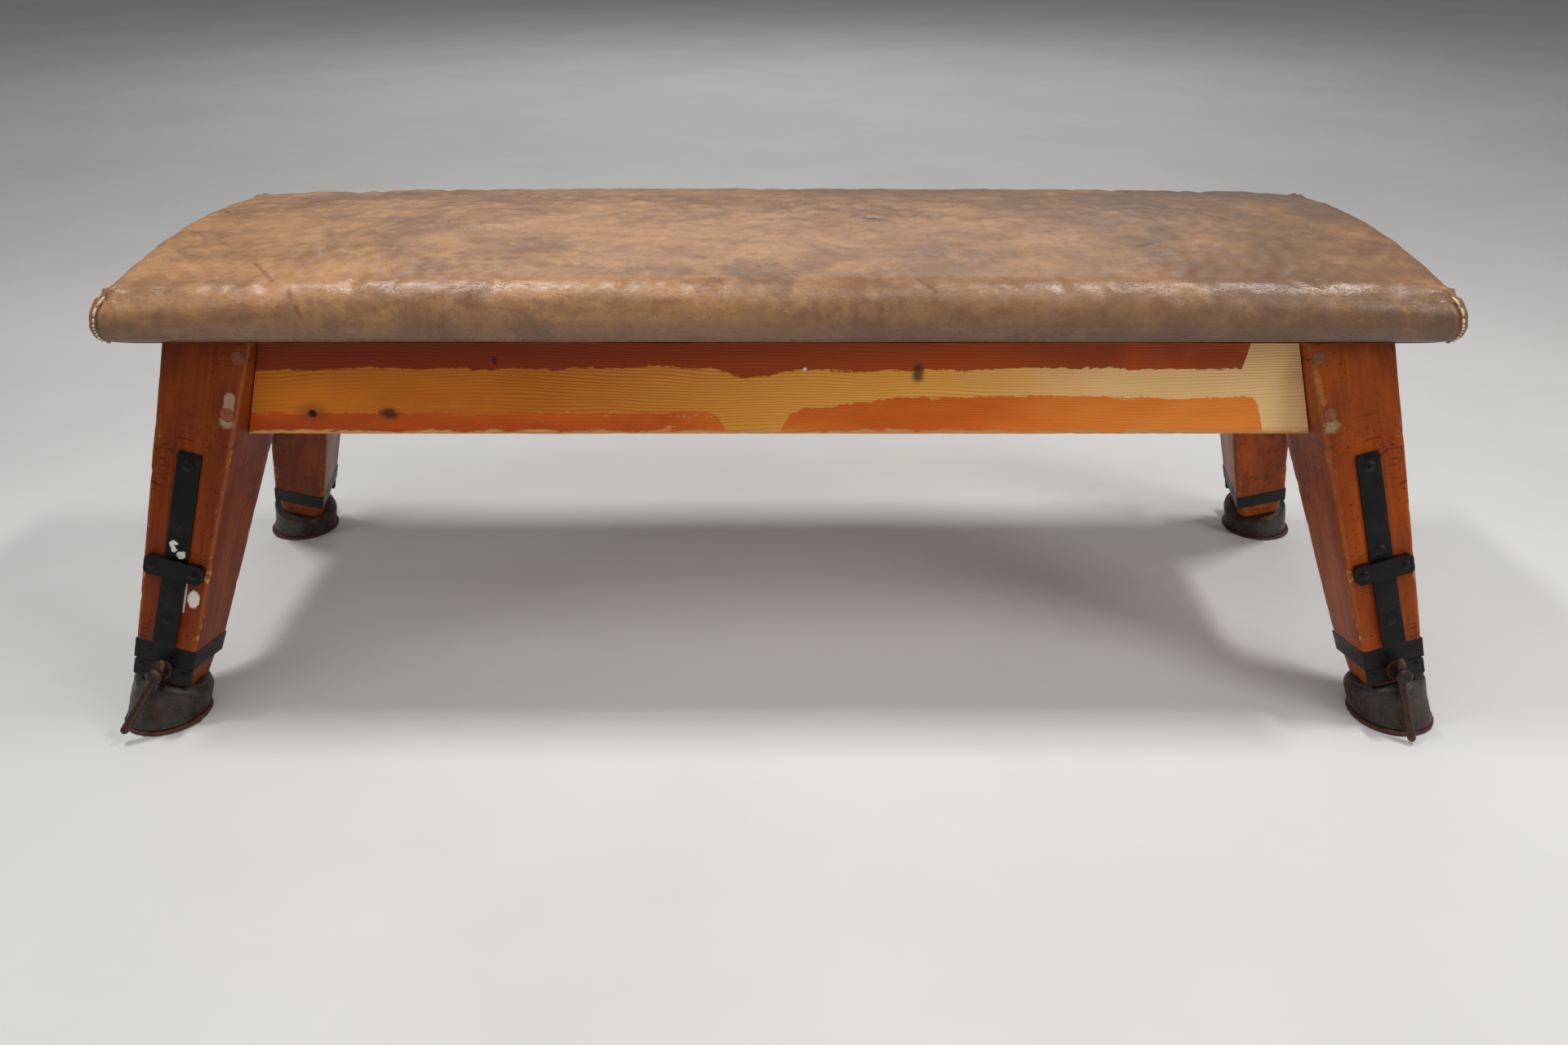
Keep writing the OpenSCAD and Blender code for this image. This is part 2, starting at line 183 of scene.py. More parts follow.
def rounded_rectangle(half_x, half_y, radius, arc=4, side_x=8, side_y=8):
    """Points round a rectangle with round corners, counter-clockwise."""
    points = []
    corners = [(1, 1, 0, side_x), (-1, 1, 90, side_y), (-1, -1, 180, side_x), (1, -1, 270, side_y)]
    for sx, sy, start, side in corners:
        centre = Vector((sx * (half_x - radius), sy * (half_y - radius)))
        arc_points = [centre + radius * Vector((math.cos(a), math.sin(a)))
                      for a in (math.radians(start + 90 * i / arc) for i in range(arc + 1))]
        points += arc_points
        turned = math.radians(start + 90)
        step = Vector((math.cos(turned), math.sin(turned)))
        next_corner = corners[(corners.index((sx, sy, start, side)) + 1) % 4]
        target = Vector((next_corner[0] * (half_x - radius), next_corner[1] * (half_y - radius)))
        target += radius * step
        points += [arc_points[-1].lerp(target, i / side) for i in range(1, side)]
    return points


def revolve(profile, segments):
    """A solid of revolution about Z from (radius, height) pairs that start and end by the axis."""
    return loft([[Vector((r * math.cos(a), r * math.sin(a), z)) for a in turn_angles(segments)]
                 for r, z in profile])


def wobble(point, scale, seed=0.0):
    """Smooth noise from -1 to 1 at a place, with features about 1/scale across."""
    return noise.noise(Vector(point) * scale + Vector((seed, 2 * seed, 3 * seed)))


def join_parts(name, parts, material, smooth_angle=40):
    """One object from several (points, faces) parts."""
    points, faces = [], []
    for part_points, part_faces in parts:
        base = len(points)
        points += part_points
        faces += [tuple(base + i for i in f) for f in part_faces]
    return finish_mesh(name, mesh_of(name, points, faces), material, smooth_angle)


def placed(part, matrix):
    """A (points, faces) part moved by a matrix."""
    points, faces = part
    return [matrix @ Vector(p) for p in points], faces


def store(obj, name, values):
    """Keeps one number per point of the mesh for the material to read."""
    attribute = obj.data.attributes.new(name, "FLOAT", "POINT")
    attribute.data.foreach_set("value", values)


# ---------------------------------------------------------------- materials

def srgb(code):
    """A linear colour from a hex code."""
    values = [int(code[i:i + 2], 16) / 255 for i in (1, 3, 5)]
    linear = [v / 12.92 if v <= 0.04045 else ((v + 0.055) / 1.055) ** 2.4 for v in values]
    return tuple(linear) + (1.0,)


class Shade:
    """Builds one node material from short calls that each return an output socket."""

    def __init__(self, name):
        self.material = bpy.data.materials.new(name)
        self.material.use_nodes = True
        self.tree = self.material.node_tree
        self.bsdf = self.tree.nodes["Principled BSDF"]
        self.place = self.add("TexCoord").outputs["Object"]

    def add(self, kind, **settings):
        node = self.tree.nodes.new("ShaderNode" + kind)
        for key, value in settings.items():
            setattr(node, key, value)
        return node

    def feed(self, socket, value):
        """Gives a socket another node's output, a hex colour or a plain value."""
        if isinstance(value, str):
            socket.default_value = srgb(value)
        elif isinstance(value, bpy.types.NodeSocket):
            self.tree.links.new(value, socket)
        else:
            socket.default_value = value

    def local(self, matrix):
        """Makes a frame's own coordinates the place that the textures read."""
        inverse = matrix.inverted()
        sign = Vector((1, 1, 1))
        if matrix.determinant() < 0 or matrix.col[0].x < 0:
            sign = Vector((math.copysign(1, matrix.translation.x), math.copysign(1, matrix.translation.y),
                           1))
        turn = inverse @ Matrix.Diagonal((*sign, 1))
        node = self.add("Mapping")
        self.feed(node.inputs["Vector"], self.place)
        node.inputs["Scale"].default_value = sign
        node.inputs["Rotation"].default_value = turn.to_3x3().to_euler()
        node.inputs["Location"].default_value = inverse.translation
        self.place = node.outputs[0]

    def scaled(self, x, y, z):
        node = self.add("Mapping")
        self.feed(node.inputs["Vector"], self.place)
        node.inputs["Scale"].default_value = (x, y, z)
        return node.outputs[0]

    def axis(self, index):
        """One coordinate of the place."""
        node = self.add("SeparateXYZ")
        self.feed(node.inputs[0], self.place)
        return node.outputs[index]

    def attribute(self, name):
        return self.add("Attribute", attribute_name=name).outputs["Fac"]

    def noise(self, scale, detail=4.0, rough=0.55, place=None, distortion=0.0, offset=0.0):
        node = self.add("TexNoise")
        source = place or self.place
        if offset:
            shift = self.add("Mapping")
            self.feed(shift.inputs["Vector"], source)
            shift.inputs["Location"].default_value = (offset, -offset, offset / 2)
            source = shift.outputs[0]
        self.feed(node.inputs["Vector"], source)
        node.inputs["Scale"].default_value = scale
        node.inputs["Detail"].default_value = detail
        node.inputs["Roughness"].default_value = rough
        node.inputs["Distortion"].default_value = distortion
        return node.outputs[0]

    def cells(self, scale, place=None):
        """The distance to the nearest of many scattered points."""
        node = self.add("TexVoronoi")
        self.feed(node.inputs["Vector"], place or self.place)
        node.inputs["Scale"].default_value = scale
        return node.outputs["Distance"]

    def math(self, operation, a, b=0.0, clamp=False):
        node = self.add("Math", operation=operation, use_clamp=clamp)
        self.feed(node.inputs[0], a)
        self.feed(node.inputs[1], b)
        return node.outputs[0]

    def step(self, value, low, high, to_low=0.0, to_high=1.0):
        """A smooth step from to_low at low to to_high at high."""
        node = self.add("MapRange", interpolation_type="SMOOTHSTEP")
        for key, given in zip(("Value", "From Min", "From Max", "To Min", "To Max"),
                              (value, low, high, to_low, to_high)):
            self.feed(node.inputs[key], given)
        return node.outputs[0]

    def mix(self, factor, a, b):
        node = self.add("Mix", data_type="RGBA")
        self.feed(node.inputs[0], factor)
        self.feed(node.inputs[6], a)
        self.feed(node.inputs[7], b)
        return node.outputs[2]

    def tint(self, base, mask, share, code):
        """A base with a share of another colour where a mask is 1."""
        return self.mix(self.both(mask, share), base, code)

    def hairlines(self, pattern, width):
        """Thin lines along the middle level of a pattern."""
        return self.step(self.math("ABSOLUTE", self.math("SUBTRACT", pattern, 0.5)), width, 0.0)

    def either(self, a, b):
        return self.math("MAXIMUM", a, b)

    def both(self, a, b):
        return self.math("MULTIPLY", a, b)

    def spot(self, centre, radius, soft=0.3, ragged=0.0, squash=(1, 1, 1)):
        """1 inside a ragged round patch about a point of the place, 0 outside."""
        node = self.add("Mapping")
        self.feed(node.inputs["Vector"], self.place)
        node.inputs["Scale"].default_value = squash
        node.inputs["Location"].default_value = [-c * s for c, s in zip(centre, squash)]
        length = self.add("VectorMath", operation="LENGTH")
        self.feed(length.inputs[0], node.outputs[0])
        distance = length.outputs["Value"]
        if ragged:
            rough = self.math("SUBTRACT", self.noise(1.3 / radius, 5, 0.65), 0.5)
            distance = self.math("ADD", distance, self.math("MULTIPLY", rough, ragged))
        return self.step(distance, radius * (1 + soft), radius * (1 - soft))

    def stroke(self, a, b, width, soft=0.5, ragged=0.0, flat=True):
        """1 along the line between two points of the place, seen along Z if flat."""
        a, b = Vector(a), Vector(b)
        place = self.scaled(1, 1, 0) if flat else self.place
        sub = self.add("VectorMath", operation="SUBTRACT")
        self.feed(sub.inputs[0], place)
        sub.inputs[1].default_value = a
        dot = self.add("VectorMath", operation="DOT_PRODUCT")
        self.feed(dot.inputs[0], sub.outputs[0])
        dot.inputs[1].default_value = (b - a) / (b - a).length_squared
        share = self.math("MULTIPLY", dot.outputs["Value"], 1.0, clamp=True)
        along = self.add("VectorMath", operation="SCALE")
        along.inputs[0].default_value = b - a
        self.feed(along.inputs["Scale"], share)
        gap = self.add("VectorMath", operation="DISTANCE")
        self.feed(gap.inputs[0], sub.outputs[0])
        self.feed(gap.inputs[1], along.outputs[0])
        distance = gap.outputs["Value"]
        if ragged:
            rough = self.math("SUBTRACT", self.noise(90, 5, 0.7), 0.5)
            distance = self.math("ADD", distance, self.math("MULTIPLY", rough, ragged))
        return self.step(distance, width * (1 + soft), width * (1 - soft))

    def finish(self, colour, roughness, heights=(), metallic=0.0, **sockets):
        """Sets the surface. heights are (height, distance) pairs, each a bump in metres."""
        self.feed(self.bsdf.inputs["Base Color"], colour)
        self.feed(self.bsdf.inputs["Roughness"], roughness)
        self.feed(self.bsdf.inputs["Metallic"], metallic)
        for key, value in sockets.items():
            self.bsdf.inputs[key.replace("_", " ")].default_value = value
        normal = None
        for height, distance in heights:
            node = self.add("Bump")
            node.inputs["Strength"].default_value = 1.0
            node.inputs["Distance"].default_value = distance
            self.feed(node.inputs["Height"], height)
            if normal:
                self.feed(node.inputs["Normal"], normal)
            normal = node.outputs[0]
        if normal:
            self.feed(self.bsdf.inputs["Normal"], normal)
        return self.material


def leather():
    """Tan cowhide, polished by hands and feet, with grey handling marks and scars."""
    s = Shade("cover_leather")
    x = s.axis(0)
    y = s.axis(1)
    cloud = s.noise(4.2, 9, 0.68, s.scaled(0.7, 1.2, 1), 0.6)
    fine_cloud = s.noise(26, 8, 0.75)
    speck = s.noise(110, 6, 0.75)
    streak = s.noise(1.0, 8, 0.72, s.scaled(6, 22, 22), 0.8)
    tan = s.mix(s.step(cloud, 0.40, 0.60), "#866041", "#aa7d54")
    tan = s.tint(tan, s.step(streak, 0.44, 0.60), 0.5, "#7a5434")
    tan = s.tint(tan, s.step(fine_cloud, 0.46, 0.60), 0.42, "#c0905a")
    grey_side = s.step(x, -0.25, 0.75)
    grey_back = s.step(y, -0.05, 0.22)
    grey = s.math("ADD", s.both(grey_side, 0.85), s.both(grey_back, 0.30))
    grey = s.both(grey, s.step(s.noise(7, 9, 0.72, offset=3.1), 0.25, 0.62))
    tan = s.mix(grey, tan, "#65503c")
    blotch = s.step(s.noise(6.5, 9, 0.75, s.scaled(0.8, 1.4, 1), 0.8, offset=7.7), 0.53, 0.66)
    tan = s.tint(tan, blotch, 0.55, "#584a3e")
    tan = s.tint(tan, s.step(speck, 0.50, 0.64), 0.32, "#6f4c30")
    # Painted shade: each side of the cover is darkened towards the underside, where the nose shades it from the
    # light above.
    low = s.step(s.axis(2), top_box[0].z + 0.045, top_box[0].z + 0.008)
    tan = s.tint(tan, low, 0.55, "#5e4334")
    # Marks: dark dash, front scar, red-brown scrapes, ring stain, spots
    dark = s.stroke((0.105, -0.005, 0), (0.130, -0.010, 0), 0.0030, 0.6, 0.006)
    dark = s.either(dark, s.stroke((0.415, -0.110, 0), (0.430, -0.105, 0), 0.0018, 0.6, 0.004))
    dark = s.either(dark, s.spot((-0.70, 0.05, top_box[1].z), 0.004, 0.5, 0.003, (1, 1, 0)))
    scrape = s.stroke((0.150, -0.210, 0), (0.170, -0.225, 0), 0.0018, 0.7, 0.004)
    scrape = s.either(scrape, s.stroke((-0.585, -0.160, 0), (-0.550, -0.205, 0), 0.0020, 0.8, 0.009))
    for x0, z0, x1, z1 in ((-0.535, 0.545, -0.530, 0.540), (-0.520, 0.530, -0.515, 0.520),
                           (-0.335, 0.545, -0.335, 0.540)):
        scrape = s.either(scrape, s.stroke(front_skin(x0, z0), front_skin(x1, z1), 0.0026, 0.8, 0.009,
                                           False))
    places = [((-0.36, -0.150), 0.07, (1, 1.8, 0)), ((-0.24, -0.145), 0.04, (1, 1.6, 0)),
              ((0.10, -0.185), 0.07, (1, 2.0, 0)), ((-0.02, -0.175), 0.05, (1, 2.0, 0)),
              ((-0.60, -0.09), 0.04, (1, 1.3, 0))]
    worn = None
    for (x0, y0), size, squash in places:
        patch = s.spot((x0, y0, top_box[1].z), size, 0.5, size, squash)
        worn = s.either(worn, patch) if worn else patch
    scuffs = s.both(s.step(s.noise(1.0, 7, 0.75, s.scaled(90, 150, 150)), 0.57, 0.66), worn)
    scrape = s.either(scrape, s.both(scuffs, 0.7))
    ring = s.both(s.spot((0.590, -0.205, top_box[1].z), 0.0105, 0.12, 0.001, (1, 1, 0)),
                  s.math("SUBTRACT", 1.0, s.spot((0.590, -0.205, top_box[1].z), 0.0080, 0.12, 0.001,
                                                 (1, 1, 0))))
    pits = s.both(s.step(s.cells(55), 0.10, 0.04), s.step(s.noise(14, 3, offset=5.0), 0.60, 0.68))
    tan = s.tint(tan, scrape, 0.62, "#6b3a26")
    tan = s.tint(tan, ring, 0.5, "#6e4438")
    tan = s.tint(tan, pits, 0.6, "#6f4630")
    tan = s.tint(tan, dark, 0.9, "#2b2620")
    seam = s.attribute("seam")
    tan = s.tint(tan, seam, 0.65, "#5a3a2a")
    # Long pale scratches and fine creases
    crease = s.noise(1.0, 4, 0.6, s.scaled(30, 160, 160), 1.5)
    lines = s.hairlines(crease, 0.012)
    tan = s.tint(tan, s.both(lines, s.step(s.noise(5, 3, offset=6.0), 0.45, 0.6)), 0.22, "#4f3626")
    scratch = s.stroke((-0.52, -0.20, 0), (-0.36, -0.13, 0), 0.0008, 0.8, 0.0015)
    scratch = s.either(scratch, s.stroke((-0.50, -0.195, 0), (-0.455, -0.210, 0), 0.0008, 0.8, 0.0015))
    scratch = s.either(scratch, s.stroke((-0.65, -0.205, 0), (-0.60, -0.190, 0), 0.0008, 0.8, 0.0015))
    tan = s.tint(tan, scratch, 0.35, "#cdab86")
    pore = s.cells(1150)
    grain = s.noise(520, 4, 0.6)
    rub = s.noise(11, 5, 0.6, offset=2.0)
    roughness = s.math("ADD", s.step(rub, 0.3, 0.7, 0.25, 0.38), s.both(scrape, 0.15))
    return s.finish(tan, roughness, [(s.math("ADD", grain, s.both(pore, 0.5)), 0.00022),
                                     (s.both(s.either(lines, scratch), -1.0), 0.00012),
                                     (s.noise(38, 4, 0.6), 0.0009)], Specular_IOR_Level=0.6)


def edge_leather():
    """The cut and folded edge of the hide, dark red-brown."""
    s = Shade("leather_edge")
    tone = s.noise(30, 6, 0.7)
    colour = s.mix(s.step(tone, 0.35, 0.65), "#3a140c", "#63301f")
    return s.finish(colour, 0.62, [(s.noise(500, 4, 0.6), 0.0002)])


def thread():
    s = Shade("waxed_thread")
    twist = s.noise(1400, 3, 0.6)
    colour = s.mix(s.step(s.noise(120, 4), 0.4, 0.7), "#d8c29a", "#a98d68")
    return s.finish(colour, 0.7, [(twist, 0.0003)])


def leg_wood(corner):
    """Red-brown varnish on beech, rubbed pale along the arrises, with dents, putty and paint spots."""
    s = Shade("beech_varnish_" + corner)
    s.local(FACE[corner])
    right = CORNERS[corner][0] > 0
    # Painted light and shade: legs on the left get darker tones and legs on the right lighter ones, for light that
    # falls more from the right.
    deep = "#8e3805" if right else "#6b2603"
    bright = "#b0520c" if right else "#924004"
    grain = s.noise(1.0, 6, 0.6, s.scaled(90, 90, 5), 0.6)
    fibre = s.noise(1.0, 4, 0.6, s.scaled(900, 900, 30))
    cloud = s.noise(9, 6, 0.6, s.scaled(1.5, 1.5, 0.6))
    colour = s.mix(s.step(grain, 0.25, 0.75), deep, bright)
    colour = s.tint(colour, s.step(cloud, 0.40, 0.68), 0.6, "#5a2208")
    colour = s.tint(colour, s.step(fibre, 0.5, 0.8), 0.35, "#47180a")
    dirt = s.both(s.step(s.noise(36, 7, 0.75, s.scaled(1.4, 1.4, 0.7)), 0.54, 0.66),
                  s.step(s.noise(7, 3, offset=4.0), 0.42, 0.6))
    colour = s.tint(colour, dirt, 0.75, "#24100a")
    gouge = s.both(s.step(s.noise(1.0, 5, 0.7, s.scaled(40, 40, 130), 1.2, offset=12.0), 0.56, 0.62),
                   s.step(s.noise(11, 4, offset=13.0), 0.46, 0.58))
    colour = s.tint(colour, gouge, 0.75, "#260d05")
    specks = s.both(s.step(s.cells(130), 0.24, 0.10), s.step(s.noise(20, 3, offset=9.0), 0.50, 0.58))
    colour = s.tint(colour, specks, 0.8, "#2a1108")
    # Rubbed arrises and chips
    wear = s.attribute("wear")
    patchy = s.noise(24, 7, 0.7, s.scaled(1, 1, 0.35), offset=1.7)
    rub = s.step(s.math("ADD", wear, s.both(s.math("SUBTRACT", patchy, 0.5), 1.5)), 0.45, 1.05)
    colour = s.tint(colour, rub, 0.5, "#a5632f")
    chips = s.both(s.step(s.noise(90, 6, 0.7, s.scaled(1, 1, 0.5), offset=6.0), 0.58, 0.64),
                   s.either(s.step(wear, 0.15, 0.75), s.step(s.noise(13, 3, offset=7.0), 0.64, 0.72)))
    colour = s.tint(colour, chips, 0.85, "#cf9a5e")
    scratch = s.noise(1.0, 3, 0.6, s.scaled(60, 60, 300), 2.0)
    lines = s.both(s.hairlines(scratch, 0.010), s.step(s.noise(8, 3, offset=8.0), 0.50, 0.62))
    colour = s.tint(colour, lines, 0.5, "#c98c55")
    putty = None
    white = None
    if corner == "front_left":
        putty = s.either(s.stroke((-0.035, 0, 0.425), (-0.035, 0, 0.440), 0.006, 0.15, 0.003, False),
                         s.spot((-0.035, 0, 0.410), 0.007, 0.4, 0.012))
        white = s.either(s.spot((-0.025, 0, 0.180), 0.007, 0.15, 0.006, (1.0, 1, 0.62)),
                         s.stroke((-0.015, 0, 0.160), (-0.015, 0, 0.200), 0.0010, 0.4, 0.001, False))
    if corner == "front_right":
        putty = s.spot((-0.035, 0, 0.405), 0.0075, 0.5, 0.014)
        strip = s.stroke((-0.040, 0, 0.435), (-0.045, 0, 0.475), 0.0030, 0.9, 0.016, False)
        colour = s.tint(colour, strip, 0.6, "#b9773c")
    outside = s.step(s.axis(1), -0.004, -0.002)
    if putty:
        colour = s.tint(colour, s.both(putty, outside), 0.85, "#a98c6e")
    if white:
        colour = s.mix(s.both(white, outside), colour, "#ded6c8")
    roughness = s.math("ADD", s.step(cloud, 0.3, 0.7, 0.34, 0.50), s.both(rub, 0.18))
    dents = s.step(s.cells(26), 0.16, 0.02)
    return s.finish(colour, roughness, [(grain, 0.00025), (s.both(dents, -1.0), 0.0007),
                                        (s.both(s.either(chips, lines), -1.0), 0.0004)],
                    Specular_IOR_Level=0.2)


def pine_surface(shade, light, dark, pace, axis_along, axis_depth):
    """Bare pine colour with growth rings, along one axis of the place."""
    stretch = [7.0, 7.0, 7.0]
    stretch[axis_along] = 1.7
    bend = shade.noise(1.0, 3, 0.5, shade.scaled(*stretch))
    fine_bend = shade.noise(4.0, 3, 0.5, shade.scaled(*stretch), offset=3.0)
    total = shade.math("ADD", shade.both(shade.axis(axis_depth), pace),
                       shade.math("ADD", shade.both(bend, 0.075 * pace),
                                  shade.both(fine_bend, 0.008 * pace)))
    bands = shade.step(shade.math("SINE", total), 0.1, 1.0)
    bands = shade.both(bands, shade.step(shade.noise(1.0, 4, 0.6, shade.scaled(*stretch), offset=8.0), 0.3,
                                         0.62))
    stretch = [700.0, 700.0, 700.0]
    stretch[axis_along] = 12.0
    fibre = shade.noise(1.0, 4, 0.6, shade.scaled(*stretch))
    tone = shade.noise(5, 5, 0.6, offset=1.0)
    colour = shade.mix(shade.step(tone, 0.35, 0.65), light, shade.mix(0.35, light, dark))
    colour = shade.mix(shade.both(bands, 0.9), colour, dark)
    colour = shade.mix(shade.both(shade.step(fibre, 0.5, 0.8), 0.25), colour, dark)
    return colour, bands, fibre


def apron_wood(name):
    """Orange varnish worn to bare pine along the middle and the lower edge."""
    s = Shade(name)
    x = s.axis(0)
    rightward = s.step(x, -0.45, 0.5)
    ochre, bands, fibre = pine_surface(s, "#d07a1a", "#954406", 1500.0, 0, 2)
    cream = s.tint("#f2c98c", bands, 0.5, "#bd7634")
    pale = s.step(s.math("ADD", x, s.both(s.noise(9, 4), 0.35)), 0.25, 0.72)
    gold = s.tint("#e8a444", bands, 0.5, "#b8681c")
    bare = s.mix(pale, s.mix(s.step(x, -0.35, 0.15), ochre, gold), cream)
    jag = s.math("SUBTRACT", s.noise(1.0, 6, 0.7, s.scaled(26, 60, 130)), 0.5)
    brush = s.math("SUBTRACT", s.noise(1.0, 6, 0.75, s.scaled(110, 60, 45), offset=3.0), 0.5)
    fringe = s.math("ADD", s.both(jag, 0.017), s.both(brush, 0.009))
    over = s.step(s.math("ADD", s.attribute("over"), fringe), -0.0004, 0.0010)
    under = s.step(s.math("ADD", s.attribute("under"), fringe), -0.0004, 0.0010)
    coat_noise = s.noise(6, 5, 0.6, s.scaled(0.6, 1, 2), offset=2.0)
    left_coat = s.mix(s.step(coat_noise, 0.35, 0.65), "#a83c02", "#cc5604")
    right_coat = s.mix(s.step(coat_noise, 0.35, 0.65), "#e06a14", "#f08c34")
    coat = s.mix(rightward, left_coat, right_coat)
    # Varnish left on the upper part, its colour painted darker as painted shade under the overhang of the pad.
    top_coat_and_shade = s.mix(rightward, "#822c02", "#b84a0a")
    plum = s.both(s.step(x, 0.22, 0.36), s.step(s.noise(12, 3), 0.3, 0.5))
    top_coat_and_shade = s.tint(top_coat_and_shade, plum, 0.5, "#7a3418")
    coat = s.tint(coat, bands, 0.22, "#8b3206")
    colour = s.mix(under, bare, coat)
    colour = s.mix(over, colour, top_coat_and_shade)
    half = s.spot((-0.44, front_y, 0.390), 0.10, 0.5, 0.04, (0.8, 0, 3.4))
    colour = s.tint(colour, s.both(half, s.step(jag, -0.25, 0.2)), 0.55, "#b0560f")
    # Bare splintered lower edge, chips and scratches in the varnish
    edge = s.attribute("edge")
    edge_mask = s.step(s.math("ADD", edge, s.both(jag, 1.6)), 0.50, 0.72)
    colour = s.mix(edge_mask, colour, s.tint("#d79a5c", bands, 0.4, "#a8622f"))
    flake = s.both(s.step(s.noise(1.0, 6, 0.7, s.scaled(40, 90, 150), offset=4.0), 0.60, 0.66),
                   s.either(s.spot((-0.23, front_y, 0.370), 0.055, 0.5, 0.02, (0.8, 0, 2.2)),
                            s.spot((-0.12, front_y, 0.370), 0.05, 0.5, 0.02, (0.8, 0, 2.2))))
    colour = s.tint(colour, flake, 0.85, "#dca468")
    # Knots with a dark heart, and rust from nails
    knot = s.spot((-0.545, front_y, 0.385), 0.0048, 0.35, 0.003, (1, 0, 1))
    halo = s.spot((-0.545, front_y, 0.385), 0.012, 0.6, 0.004, (0.7, 0, 1))
    second = s.spot((-0.455, front_y, 0.385), 0.0065, 0.5, 0.010, (0.6, 0, 1))
    third = s.spot((0.160, front_y, 0.435), 0.006, 0.5, 0.006, (0.9, 0, 0.55))
    colour = s.tint(colour, halo, 0.5, "#7a2f08")
    colour = s.mix(s.either(knot, s.both(s.either(second, third), 0.8)), colour, "#2c1006")
    nail = s.spot((-0.325, front_y, 0.450), 0.0028, 0.3, 0.001, (1, 0, 0.6))
    white = s.spot((0.030, front_y, 0.440), 0.0022, 0.3, 0.002, (1, 0, 1))
    colour = s.tint(colour, nail, 0.8, "#30100a")
    colour = s.mix(white, colour, "#e8e2d6")
    coated = s.either(over, under)
    coated = s.both(coated, s.math("SUBTRACT", 1.0, edge_mask))
    roughness = s.math("SUBTRACT", 0.62, s.both(coated, 0.22))
    return s.finish(colour, roughness, [(s.both(bands, -1.0), 0.00025), (fibre, 0.00012),
                                        (coated, 0.00015)], Specular_IOR_Level=0.2)


def plain_pine(name, axis_along, axis_depth):
    """Pine with a thin orange varnish, as on the parts under the top."""
    s = Shade(name)
    colour, bands, fibre = pine_surface(s, "#c48b4a", "#8f5525", 1100.0, axis_along, axis_depth)
    stain = s.noise(6, 5, 0.6, offset=6.0)
    colour = s.mix(s.step(stain, 0.35, 0.7, 0.15, 0.6), colour, "#9a4b16")
    knots = s.step(s.cells(6.5, s.scaled(1.0, 1.6, 1.6)), 0.10, 0.03)
    colour = s.tint(colour, knots, 0.7, "#4a2410")
    return s.finish(colour, 0.58, [(s.both(bands, -1.0), 0.0002), (fibre, 0.00012)], Specular_IOR_Level=0.2)


def black_iron(name, matrix=None, paint=()):
    """Stove-black iron: brown bloom, bright worn spots and, where given, drops of white paint."""
    s = Shade(name)
    if matrix is not None:
        s.local(matrix)
    cloud = s.noise(40, 6, 0.65)
    colour = s.mix(s.step(cloud, 0.35, 0.7), "#060606", "#100e0d")
    bloom = s.step(s.noise(90, 7, 0.7, offset=3.0), 0.60, 0.74)
    colour = s.tint(colour, bloom, 0.4, "#33231b")
    scratch = s.noise(1.0, 3, 0.6, s.scaled(160, 160, 900), 1.5)
    lines = s.both(s.hairlines(scratch, 0.008), s.step(s.noise(14, 3, offset=2.0), 0.5, 0.62))
    colour = s.tint(colour, lines, 0.6, "#7a756c")
    for centre, radius, squash in paint:
        drop = s.spot(centre, radius, 0.12, radius * 0.9, squash)
        colour = s.mix(drop, colour, "#dcd6ca")
    rough = s.step(cloud, 0.3, 0.7, 0.32, 0.50)
    return s.finish(colour, rough, [(s.noise(260, 5, 0.65), 0.00022), (cloud, 0.0004)],
                    Specular_IOR_Level=0.25)


def shoe_metal(corner):
    """Old zinc-grey sheet with brown patina, rust and dull dents."""
    s = Shade("shoe_metal_" + corner)
    s.local(LEG[corner])
    cloud = s.noise(26, 7, 0.68)
    fine = s.noise(140, 6, 0.65)
    colour = s.mix(s.step(cloud, 0.35, 0.65), "#26241f", "#454138")
    colour = s.tint(colour, s.step(fine, 0.5, 0.75), 0.5, "#6a6455")
    brown = s.step(s.noise(18, 6, 0.7, offset=5.0), 0.47, 0.66)
    colour = s.tint(colour, brown, 0.7, "#432c20")
    rust = s.step(s.noise(34, 7, 0.72, offset=9.0), 0.62, 0.72)
    if corner == "front_right":
        rust = s.either(rust, s.spot((0.045, 0.010, 0.020), 0.013, 0.5, 0.02))
    colour = s.tint(colour, rust, 0.65, "#7c4724")
    rough = s.step(cloud, 0.3, 0.7, 0.34, 0.55)
    return s.finish(colour, rough, [(fine, 0.0003), (cloud, 0.0010)], metallic=0.55, Specular_IOR_Level=0.5)


def simple_metal(name, dark, light, roughness, metallic, patch=None):
    """Cloudy metal between a dark and a light tone, with stains where a patch colour is given."""
    s = Shade(name)
    cloud = s.noise(120, 6, 0.65)
    colour = s.mix(s.step(cloud, 0.35, 0.65), dark, light)
    if patch:
        colour = s.mix(s.both(s.step(s.noise(60, 6, 0.7, offset=4.0), 0.5, 0.65), 0.7), colour, patch)
    return s.finish(colour, s.step(cloud, 0.3, 0.7, roughness - 0.08, roughness + 0.1),
                    [(s.noise(300, 5, 0.6), 0.0002)], metallic=metallic)


def sole_leather():
    """Layered brown sole leather with a frayed reddish edge."""
    s = Shade("sole_leather")
    layers = s.noise(1.0, 4, 0.6, s.scaled(60, 60, 1500))
    colour = s.mix(s.step(layers, 0.4, 0.6), "#33180f", "#5a3020")
    colour = s.tint(colour, s.step(s.noise(80, 6, 0.7), 0.5, 0.7), 0.5, "#2e1a13")
    return s.finish(colour, 0.75, [(layers, 0.0004), (s.noise(240, 5, 0.6), 0.0003)])


def plug_wood():
    """End grain of the dowel plugs: wavy rings from noise."""
    s = Shade("plug_wood")
    fine = s.noise(420, 5, 0.65)
    rings = s.step(s.math("SINE", s.both(s.noise(28, 3, 0.5), 60.0)), -0.4, 0.9)
    colour = s.tint("#8a4c24", rings, 0.4, "#572913")
    colour = s.tint(colour, s.step(fine, 0.45, 0.7), 0.4, "#5a3019")
    return s.finish(colour, 0.5, [(fine, 0.0002)])


# ---------------------------------------------------------------- the padded top

